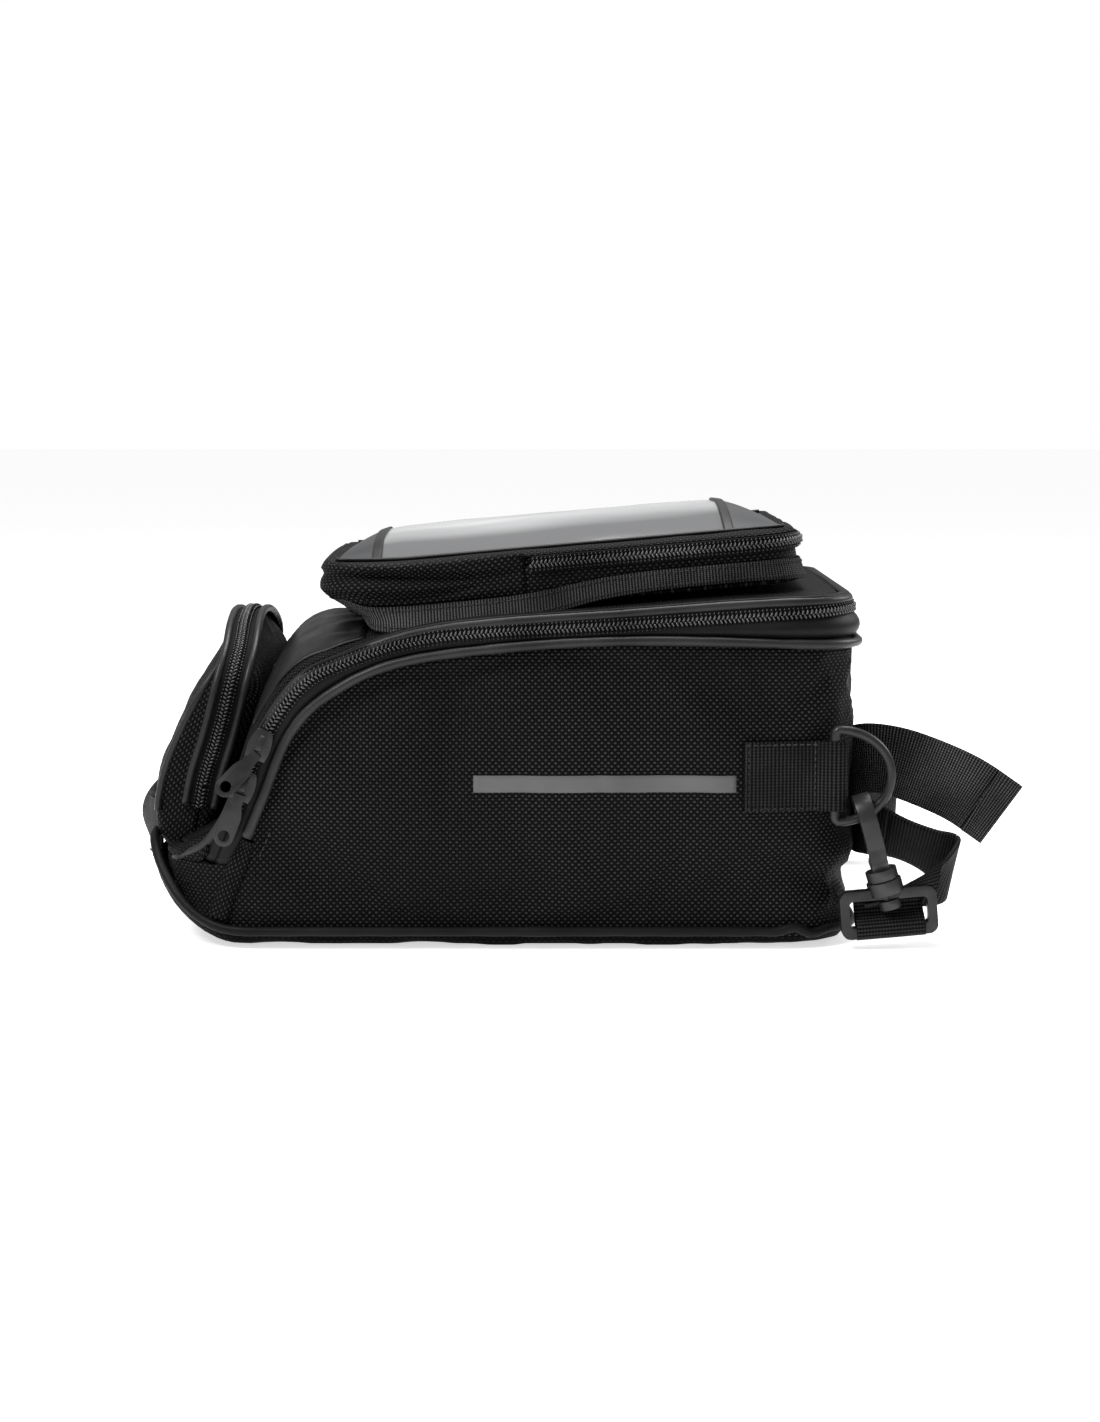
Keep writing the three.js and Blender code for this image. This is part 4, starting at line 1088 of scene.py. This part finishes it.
def make_pocket_zip():
    route, out = arch_route(POCKET_ZIP, 1.2, 52)
    ride(tooth_row("pocket_teeth_inner", route, out, 1, 3.0, 1.6), "lid", "coil", "pocket_coil_inner")
    swings = route[:, 2] > 62
    ride(tooth_row("pocket_teeth_outer", route[swings], out[swings], -1, 3.0, 1.6, 0.5), "pocket_front",
         "coil", "pocket_coil_outer")
    for name, side in SIDES:
        foot = ~swings & (route[:, 1] * side > 0)
        ride(tooth_row(f"{name}_pocket_teeth_foot", route[foot], out[foot], -1, 3.0, 1.6, 0.5), "lid", "coil")
    _, outward, crosswise = frames_along(route, out)
    for name, body, side in (("inner", "lid", 1), ("outer", "pocket_front", -1)):
        tape = sweep(f"pocket_tape_{name}", (route + crosswise * side * 2.9 - outward * 0.3)[::2], out[::2],
                     flat_section(5.6, 1.3, 5), COIL_TAPE)
        bend_with_pocket(tape, body, "zip_tape")
        welt = sweep(f"pocket_welt_{name}", (route + crosswise * side * 6.2 + outward * 0.2)[::2], out[::2],
                     circle(1.7, 10), PIPING)
        bend_with_pocket(welt, body, "piping")
    zip_x, zip_z = np.array(POCKET_ZIP).T
    rim = [(x + min(7.2, 0.58 * (np.interp(z, zip_z, zip_x) - x)), z) for x, z in POCKET_FACE[2:]]
    route, out = arch_route(rim, -1.0, 50)
    cord = sweep("pocket_border", route[::2], out[::2] + np.array((-0.7, 0, 0)), circle(1.5, 10), PIPING)
    bend_with_pocket(cord, "pocket_front", "piping")


def bend_with_pocket(piece, body, slot):
    """A strip on the pocket's back rides on the lid; one on its front is only baked where it stands."""
    if body == "lid":
        ride(piece, body, slot)
        return
    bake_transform(piece)


def make_pocket_tab():
    """A small stitched tab at the foot of the pocket's rear wall, on the near and far side."""
    for name, side in SIDES:
        line = smooth_line([(-102.4, 112), (-100.6, 104), (-101, 96)])
        route = np.column_stack([line[:, 0] + 1.6, np.full(len(line), side * 50.0), line[:, 1]])
        out = (0.98, 0, 0.2)
        tab = sweep(f"{name}_pocket_tab", route, out, flat_section(9, 1.5, 5), WEBBING_CLOTH)
        ride(tab, "lid", "webbing")
        row = stitch_row(f"{name}_pocket_tab_stitches", route + np.array((0.9, side * 3.2, 0)), out)
        ride(row, "lid", "webbing")


def make_handle():
    """A webbing loop across the rider end, bowed across its width where a hand has held it."""
    half = [(-150.4, -58), (-153.6, -50), (-156.4, -42), (-160.6, -29), (-164.4, -14)]
    line = smooth_line([*half, (-165.6, 0), *((x, -y) for x, y in half[::-1])])
    bow = 7.5 * ramp(line[:, 0], -155.5, -164.5)
    offsets = np.linspace(-14.5, 14.5, 15)
    grid = as_grid(line[:, :1] + bow[:, None] * (offsets / 14.5) ** 2, line[:, 1:],
                   43.0 + offsets * (1 - 0.008 * bow[:, None]))
    strap = sheet_mesh("handle_webbing", grid[::-1], 2.0, WEBBING_CLOTH)
    ride(strap, "lid", "webbing", "grab_handle")
    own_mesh(strap)
    for name, side in SIDES:
        for z in (31.0, 55.0):
            row = np.linspace((-156.6, side * 43, z), (-152.6, side * 55, z), 12)
            stitches = stitch_row(f"{name}_handle_stitches_{int(z)}", row, (-1, 0, 0))
            ride(stitches, "lid", "webbing")
            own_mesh(stitches)


# --- map pouch, built in its own tilted frame ---
def pouch_place(points):
    """From the pouch's frame to the bag's. The rear end leans back and its foot tucks in."""
    p = np.array(points, float)
    rear = ramp(p[..., 0], -62, -100) ** 1.5
    foot = np.clip((10.5 - p[..., 2]) / 10.5, 0, 1.3) ** 1.3
    rise = np.clip(p[..., 2] / POUCH_TOP, 0, 1.3)
    p[..., 0] += rear * (9.5 * foot - 0.8 * (1 - foot) * (1 - rise))
    p[..., 1] *= 1 - 0.05 * rear * foot
    p[..., 2] += rear * (3.0 * foot + (2.0 + 2.2 * (1 - (p[..., 1] / POUCH_HALF) ** 2)) * rise)
    return pouch_turn(p) + np.array(POUCH_ORIGIN)


def pouch_turn(directions):
    d = np.asarray(directions, float)
    c, s = math.cos(POUCH_TILT), math.sin(POUCH_TILT)
    return np.stack([d[..., 0] * c - d[..., 2] * s, d[..., 1], d[..., 0] * s + d[..., 2] * c], -1)


def pouch_loop(inset, **extra):
    return plan_loop(inset, POUCH_REAR, POUCH_FRONT, POUCH_HALF, POUCH_RADIUS, POUCH_RADIUS, 12, **extra)


def one_stretch(loop, keep):
    """The points of a loop, with their normals, for which keep is true, in one unbroken run."""
    plan, normals = loop
    order = np.roll(np.arange(len(plan)), -int(np.argmax(~keep(plan))))
    order = order[keep(plan)[order]]
    return plan[order], normals[order]


def pouch_band(name, inset, heights, lift, thickness, keep, seed, folds):
    """A stretch of cloth wall round the pouch, standing out by lift, with folds."""
    plan, normals = one_stretch(pouch_loop(inset), keep)
    reach = lift(plan, heights)
    grid = as_grid(plan[:, :1] + normals[:, :1] * reach, plan[:, 1:] + normals[:, 1:] * reach, heights)
    middle = np.sin(math.pi * np.linspace(0, 1, len(heights)))
    creases = (wobble(grid, 26, folds, seed) + wobble(grid, 9, folds * 0.3, seed)) * middle
    grid = grid + in_space(normals)[:, None] * creases[..., None]
    return sheet_mesh(name, pouch_place(grid), thickness, FABRIC)


def pouch_sag(plan, heights):
    """The wall hangs slack behind the zip's ends, with one long crease; beside the zip it is straight."""
    x = plan[:, :1]
    t = (heights - heights[0]) / (heights[-1] - heights[0])
    slack = ramp(x, -4, -44)
    creased = slack * ramp(x, -103, -79)
    belly = np.sin(math.pi * np.clip(t * 1.08, 0, 1)) ** 0.8 * (0.8 + 2.2 * slack)
    crease = -4.2 * creased * bell(t - 0.12 * np.sin(x / 19), 0.66, 0.1)
    lower = -2.2 * creased * bell(t + 0.08 * np.sin(x / 13), 0.3, 0.09)
    roll = 1.6 * slack * bell(t, 0.9, 0.08)
    return belly + crease + lower + roll


def flange_reach(x):
    """How far the flange hangs out over the lid's edge beside the pouch's rear, and how far it droops."""
    hang = 1 / (1 + np.exp((x - 4) / 11)) * ramp(x, -99, -85)
    return 8.5 * hang, 6.5 * hang - 1.6 * (1 - hang) * ramp(x, -60, 0)


def flange_grid(plan, normals, heights):
    """Points on the flange's outer face for heights from its free edge to its sewn edge."""
    sideways = np.clip(np.abs(normals[:, 1:]), 0, 1) ** 2
    hang, droop = flange_reach(plan[:, :1])
    t = (heights + 1.0) / 8.6
    reach = 1.9 - 0.12 * heights + 0.9 * np.sin(plan[:, :1] / 13.0) * (1 - t)
    reach = reach + hang * sideways * (1 - t) ** 0.9
    down = droop * sideways * (1 - 0.25 * t)
    return as_grid(plan[:, :1] + normals[:, :1] * reach, plan[:, 1:] + normals[:, 1:] * reach, heights - down)


def make_pouch():
    behind = lambda plan: plan[:, 0] < POUCH_FOLD
    ahead = lambda plan: plan[:, 0] >= POUCH_FOLD - 3
    level = lambda plan, heights: np.zeros((len(plan), len(heights)))
    for name, inset, low, high, rows, lift, thickness, keep, seed, folds, body, nodes in (
            ("wall_zipped", 2.3, 2.2, POUCH_ZIP - 0.2, 12, pouch_sag, 1.6, ahead, 3.0, 0.4, "map_pouch",
             ["pouch_wall"]),
            ("wall_slack", 2.0, 2.2, POUCH_TOP - 0.6, 18, pouch_sag, 1.6, behind, 9.0, 0.9, "map_pouch", []),
            ("rim", 2.2, POUCH_ZIP + 0.2, POUCH_TOP - 1.2, 6, level, 1.4, ahead, 5.0, 0.2, "pouch_flap", [])):
        heights = np.linspace(low, high, rows)
        band = pouch_band(f"pouch_{name}", inset, heights, lift, thickness, keep, seed, folds)
        ride(band, body, "woven_fabric", *nodes)
    make_pouch_floor()
    make_pouch_top()
    make_pouch_chain()
    make_window()


def make_pouch_floor():
    insets = [1.0, 3, 8, 20, 40, 60, 78]
    loops = [np.column_stack([pouch_loop(i)[0], np.full(len(pouch_loop(i)[0]), 0.2)]) for i in insets]
    floor = sheet_mesh("pouch_floor_cloth", pouch_place(np.stack(loops, 1)[:, ::-1]), -1.6, FABRIC, True)
    ride(floor, "map_pouch", "woven_fabric", "pouch_floor")
    plan, normals = pouch_loop(1.0, step=2.0)
    grid = flange_grid(plan, normals, np.linspace(-1.0, 7.6, 12))
    creases = wobble(grid, 22, 0.8, 6.0) + wobble(grid, 7, 0.35, 2.0)
    grid = grid + in_space(normals)[:, None] * creases[..., None]
    binding = sheet_mesh("pouch_binding_tape", pouch_place(grid), 1.5, BINDING, True)
    ride(binding, "map_pouch", "zip_tape", "pouch_binding")
    side_out = pouch_turn(in_space(normals, 0.3))
    for name, row in (("low", 2), ("high", 9)):
        stitches = stitch_row(f"pouch_stitches_{name}", pouch_place(grid[:, row]), side_out,
                              pitch=2.6, length=1.8, radius=0.3, sink=-0.12)
        ride(stitches, "map_pouch", "zip_tape")


def bend_with_flap(piece, first=POUCH_FOLD - 6, last=POUCH_FOLD):
    """A sheet on the pouch's top, baked where it stands; the two places along it where the zip ends are worked
    out and not used.
    """
    tuple(pouch_place((first, 0, 20)) * MM)
    tuple(pouch_place((last, 0, 20)) * MM)
    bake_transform(piece)


def make_pouch_top():
    """The cloth frame round the window: one sheet across the place where the zip ends."""
    outer, _ = pouch_loop(1.2)
    inner = np.clip(outer, (VINYL_REAR + 1, 0.5 - WINDOW_HALF), (VINYL_FRONT - 1, WINDOW_HALF - 0.5))
    t = np.array([0, 0.05, 0.12, 0.2, 0.3, 0.5, 0.7, 0.88, 1.0])
    plan = outer[:, None] + (inner - outer)[:, None] * t[:, None]
    height = POUCH_TOP - 1.9 + 2.4 * np.sin(math.pi / 2 * np.minimum(1, 3 * t)) - 0.9 * t
    grid = as_grid(plan[..., 0], plan[..., 1], height)
    grid[..., 2] += wobble(grid, 20, 0.7, 3.3) * np.array([0, 0.2, 0.6, 0.9, 1, 1, 0.8, 0.3, 0])
    top = sheet_mesh("pouch_top_frame", pouch_place(grid), 1.5, FABRIC, True)
    bend_with_flap(top, POUCH_FOLD - 7, POUCH_FOLD + 1)
    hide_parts("pouch_frame_rear", "pouch_frame_front")


def make_pouch_chain():
    plan, normals = one_stretch(pouch_loop(0.4), lambda plan: plan[:, 0] >= POUCH_FOLD)
    route = pouch_place(np.column_stack([plan, np.full(len(plan), POUCH_ZIP)]))
    out = pouch_turn(in_space(normals))
    _, _, crosswise = frames_along(route, out)
    for name, side, body in (("lower", -1, "map_pouch"), ("upper", 1, "pouch_flap")):
        core = sweep(f"pouch_core_{name}", route + crosswise * side * 1.75, out, flat_section(3.3, 1.0, 4),
                     COIL_TAPE)
        ride(core, body, "coil")
    ride(tooth_row("pouch_teeth_lower", route, out, NEAR, 2.9, 1.75), "map_pouch", "coil", "pouch_coil_lower")
    ride(tooth_row("pouch_teeth_upper", route, out, FAR, 2.9, 1.75, 0.5), "pouch_flap", "coil",
         "pouch_coil_upper")


def crowned_height(y):
    return POUCH_TOP - 0.6 + WINDOW_CROWN * (1 - np.abs(y / WINDOW_HALF) ** 2.4)


def top_sheet(name, x_low, x_high, y_half, lift, thickness, material, relief, count=60):
    xs = np.linspace(x_low, x_high, count)
    ys = np.linspace(-y_half, y_half, 49)
    ends = ramp(xs, VINYL_REAR, VINYL_REAR + 30) * ramp(xs, VINYL_FRONT, VINYL_FRONT - 30)
    ends = np.sin(ends * math.pi / 2)[:, None]
    flat = POUCH_TOP - 0.6
    grid = as_grid(xs[:, None], ys, flat + (crowned_height(ys) - flat) * ends + lift)
    edge = 1 - (ys / WINDOW_HALF) ** 2
    grid[..., 2] += wobble(grid, 38, relief, 7.0) * edge
    return sheet_mesh(name, pouch_place(grid), thickness, material)


def make_window():
    window = top_sheet("clear_window", WINDOW_REAR, WINDOW_FRONT, WINDOW_HALF, 0, 0.8, CLEAR, 1.6)
    bend_with_flap(window)
    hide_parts("window_rear", "window_front")
    for name, low, high, body in (("rear", VINYL_REAR, WINDOW_REAR, "map_pouch"),
                                  ("front", WINDOW_FRONT, VINYL_FRONT, "pouch_flap")):
        panel = top_sheet(f"vinyl_panel_{name}", low, high, WINDOW_HALF, 0.2, 1.2, VINYL, 0.3, 12)
        ride(panel, body, "grey_vinyl", f"vinyl_{name}")
    for name, x, body in (("rear", WINDOW_REAR, "map_pouch"), ("front", WINDOW_FRONT, "pouch_flap")):
        strip = top_sheet(f"window_seam_{name}", x - 2.0, x + 2.0, WINDOW_HALF + 0.5, 1.0, 1.0, PIPING, 0.2, 6)
        ride(strip, body, "piping")
    for name, side in SIDES:
        y, z = side * WINDOW_HALF, POUCH_TOP + 0.5
        route = pouch_place(np.linspace((VINYL_REAR, y, z), (VINYL_FRONT, y, z), 60))
        binding = flat_section(4.6, 1.3, 5)
        edge = sweep(f"{name}_window_binding", route, pouch_turn((0, 0, 1)), binding, PIPING)
        bend_with_flap(edge)


# --- webbing, rings and hooks ---
RING_X, RING_Y, RING_Z = 136.0, 102.3, 72.0
RING_DEPTH, RING_HALF_HEIGHT, RING_WIRE = 22.0, 19.0, 2.0


def make_ring_tab(name, side):
    """Webbing folded round the ring's bar and sewn to the side."""
    face = RING_Y + 0.9
    line = [(x, max(face - 0.5, wall_face_y(x, RING_Z, side) + 1.0)) for x in (97, 104, 111, 118, 126)]
    line += [(134, face + 1.8), (137.6, face + 1.3), (139.3, face - 0.9), (138.6, face - 2.9)]
    dense = smooth_line(line)
    route = np.column_stack([dense[:, 0], side * dense[:, 1], np.full(len(dense), RING_Z)])
    out = np.gradient(dense, axis=0)
    out = np.column_stack([-out[:, 1], side * out[:, 0], 0 * out[:, 0]])
    tab = sweep(f"{name}_tab_webbing", route, out, flat_section(WEBBING - 1, 1.7, 16), WEBBING_CLOTH)
    ride(tab, "bag", "webbing", f"{name}_ring_tab")
    corners = [(99, 58.8), (126.5, 58.8), (126.5, 85.2), (99, 85.2), (99, 58.8)]
    for index, (a, b) in enumerate(zip(corners, corners[1:])):
        xs = np.linspace(a[0], b[0], 12)
        depth = np.interp(xs, dense[:60, 0], dense[:60, 1]) + 1.1
        row = np.column_stack([xs, side * depth, np.linspace(a[1], b[1], 12)])
        ride(stitch_row(f"{name}_tab_stitches_{index}", row, (0, side, 0), 2.8, 1.9), "bag", "webbing")


def make_ring(name, side):
    bow = [(RING_X + RING_DEPTH * math.cos(a), side * RING_Y, RING_Z + RING_HALF_HEIGHT * math.sin(a))
           for a in np.linspace(-math.pi / 2, math.pi / 2, 40)]
    corner = [(RING_X - 0.9, side * RING_Y, RING_Z + RING_HALF_HEIGHT - 0.9)]
    bar = [(RING_X - 1.2, side * RING_Y, z) for z in np.linspace(RING_Z + 17, RING_Z - 17, 12)]
    other = [(RING_X - 0.9, side * RING_Y, RING_Z - RING_HALF_HEIGHT + 0.9)]
    route = np.array(bow + corner + bar + other)
    ring = sweep(f"{name}_ring_wire", route, (0, side, 0), circle(RING_WIRE, 16), METAL, True)
    ride(ring, f"{name}_ring", "dark_metal", f"{name}_d_ring")


def make_hardware():
    for name, side in SIDES:
        make_ring_tab(name, side)
        make_ring(name, side)
        for part in ("hook_body", "hook_gate", "hook_frame"):
            machined(f"{name}_{part}", METAL, 0.5)
    for zip_name in ("upper", "lower", "pocket", "pouch"):
        machined(f"{zip_name}_slider", METAL, 0.3)
        machined(f"{zip_name}_pull", METAL, 0.25)
    machined("strap_keeper", PLASTIC, 0.5)


STRAP_X = FRONT_X + 1.6


def upright_strap(name, route, heights, material):
    """A strap on edge along a plan route, with the heights of its middle along it."""
    plan = smooth_line(route, 10)
    z = smooth_line([(h, 0) for h in heights], 10)[:, 0]
    path = np.column_stack([plan, z])
    tangent = np.gradient(path, axis=0)
    out = np.column_stack([-tangent[:, 1], tangent[:, 0], 0 * z])
    return sweep(name, path, out, flat_section(WEBBING, WEBBING_THICK, 14), material)


def make_straps():
    tail_route = [(STRAP_X, -19), (STRAP_X, -50), (151, -62), (160, -69), (172, -73), (191, -76.5),
                  (207, -79)]
    tail = upright_strap("tail_webbing", tail_route, [60, 69, 73.5, 74, 71, 63, 52.5], LOOP_CLOTH)
    ride(tail, "bag", "webbing", "strap_tail")
    hem = upright_strap("tail_hem", [(198.4, -78.9), (202, -79.6), (207.4, -80.3)], [58.1, 55.9, 52.1],
                        LOOP_CLOTH)
    ride(hem, "bag", "webbing")
    across = np.array([(197.6 + 0.62 * t, -80.3, 57.9 + 0.78 * t) for t in np.linspace(-13, 13, 14)])
    ride(stitch_row("tail_hem_stitches", across, (0, -1, 0), 2.4, 1.7), "bag", "webbing")
    middle = upright_strap("middle_webbing", [(STRAP_X, -18), (STRAP_X, -6), (STRAP_X, 6), (STRAP_X, 18)],
                           [56, 56, 56, 56], WEBBING_CLOTH)
    ride(middle, "bag", "webbing", "strap_middle")
    for name, side in SIDES:
        make_strap_loop(name, side)
        make_hook_webbing(name, side)


def make_strap_loop(name, side):
    """The strap from the keeper to the hook, in three stretches.

    Each station is the strap's middle and the way its width points. The strap leaves the keeper on edge,
    leans over, folds at its far end and turns into the hook's frame.
    """
    stations = [(148.4, 22, 50, 0, 0, 1), (148.6, 42, 46, 0, 0.1, 1), (153, 58, 43.5, 0, 0.5, 0.9),
                (165, 72, 40.5, 0, 0.75, 0.7), (177, 83, 36.5, 0.05, 0.7, 0.7),
                (184.5, 91, 32, 0.1, 0.4, 0.9), (179, 97, 29, 0.3, 0.4, 0.85),
                (168, 100, 28, 0.7, 0.45, 0.5), (162, 104, 21, 0.98, 0, 0.15)]
    line = smooth_line([s[:3] for s in stations], 9)
    width = smooth_line([s[3:] for s in stations], 9)
    width /= np.linalg.norm(width, axis=1)[:, None]
    offsets = np.linspace(-WEBBING / 2, WEBBING / 2, 15)
    grid = line[:, None] + width[:, None] * offsets[None, :, None]
    grid[..., 1] *= side
    if side > 0:
        grid = grid[:, ::-1]
    cuts = [0, 24, 44, len(line) - 1]
    for index, (first, last) in enumerate(zip(cuts, cuts[1:])):
        piece_grid = grid[first:last + 1]
        strap = sheet_mesh(f"{name}_loop_webbing_{index}", piece_grid, WEBBING_THICK, WEBBING_CLOTH)
        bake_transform(strap)
        if index == 0:
            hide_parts(f"{name}_strap_loop")


def make_hook_webbing(name, side):
    """The strap's end, sewn round the lower bar of the hook's frame."""
    low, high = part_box(f"{name}_hook_frame")
    angle = math.radians(5)
    bar = Vector(((low.x + high.x) / 2 / MM + 1.0, side * RING_Y, low.z / MM + 4.4))
    wrap = [(5.4, 12), (4.9, 5), (4.1, 0), (2.4, -3.2), (0, -3.7), (-2.4, -3.2), (-4.0, -0.5), (-3.6, 2.8),
            (-1.5, 4.8), (1.5, 7), (3.2, 10), (3.6, 13)]
    dense = smooth_line(wrap, 5)
    offsets = np.linspace(-14.2, 14.2, 15)
    grid = as_grid(bar.x + offsets * math.cos(angle) - dense[:, 1:] * math.sin(angle),
                   bar.y - side * dense[:, :1],
                   bar.z + offsets * math.sin(angle) + dense[:, 1:] * math.cos(angle))
    webbing = sheet_mesh(f"{name}_hook_webbing", grid if side > 0 else grid[::-1], 1.3, WEBBING_CLOTH)
    ride(webbing, f"{name}_frame", "webbing")


def make_strips():
    for name, _ in SIDES:
        for kind in ("hook_strip", "loop_strip"):
            node = f"{name}_{kind}"
            strip = softened(node, f"{node}_pile", LOOP_CLOTH)
            ride(strip, frame["nodes"][node]["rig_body"], "hook_and_loop", node)


def make_print():
    """A plain light bar printed on each side panel."""
    for name, side in SIDES:
        xs = np.linspace(-14, 94, 60)
        zs = np.linspace(65.5, 72.5, 5)
        depth = np.array([[wall_face_y(x, z, side) + 0.3 for z in zs] for x in xs])
        grid = as_grid(xs[:, None], side * depth, zs)
        bar = sheet_mesh(f"{name}_printed_bar", grid if side < 0 else grid[::-1], 0.5, STRIPE)
        ride(bar, "bag", "woven_fabric")


def make_inner_pieces():
    for node in ("base_foam", "base_stiffener"):
        materials = frame["nodes"][node].data.materials
        materials.clear()
        materials.append(PLASTIC)


make_studio()
WALLS = make_walls()
make_base()
make_pipings()
make_corner_pleats()
make_gussets()
make_heel()
make_main_chain()
make_lid()
make_pocket()
make_pouch()
make_hardware()
make_straps()
make_strips()
make_inner_pieces()
make_print()
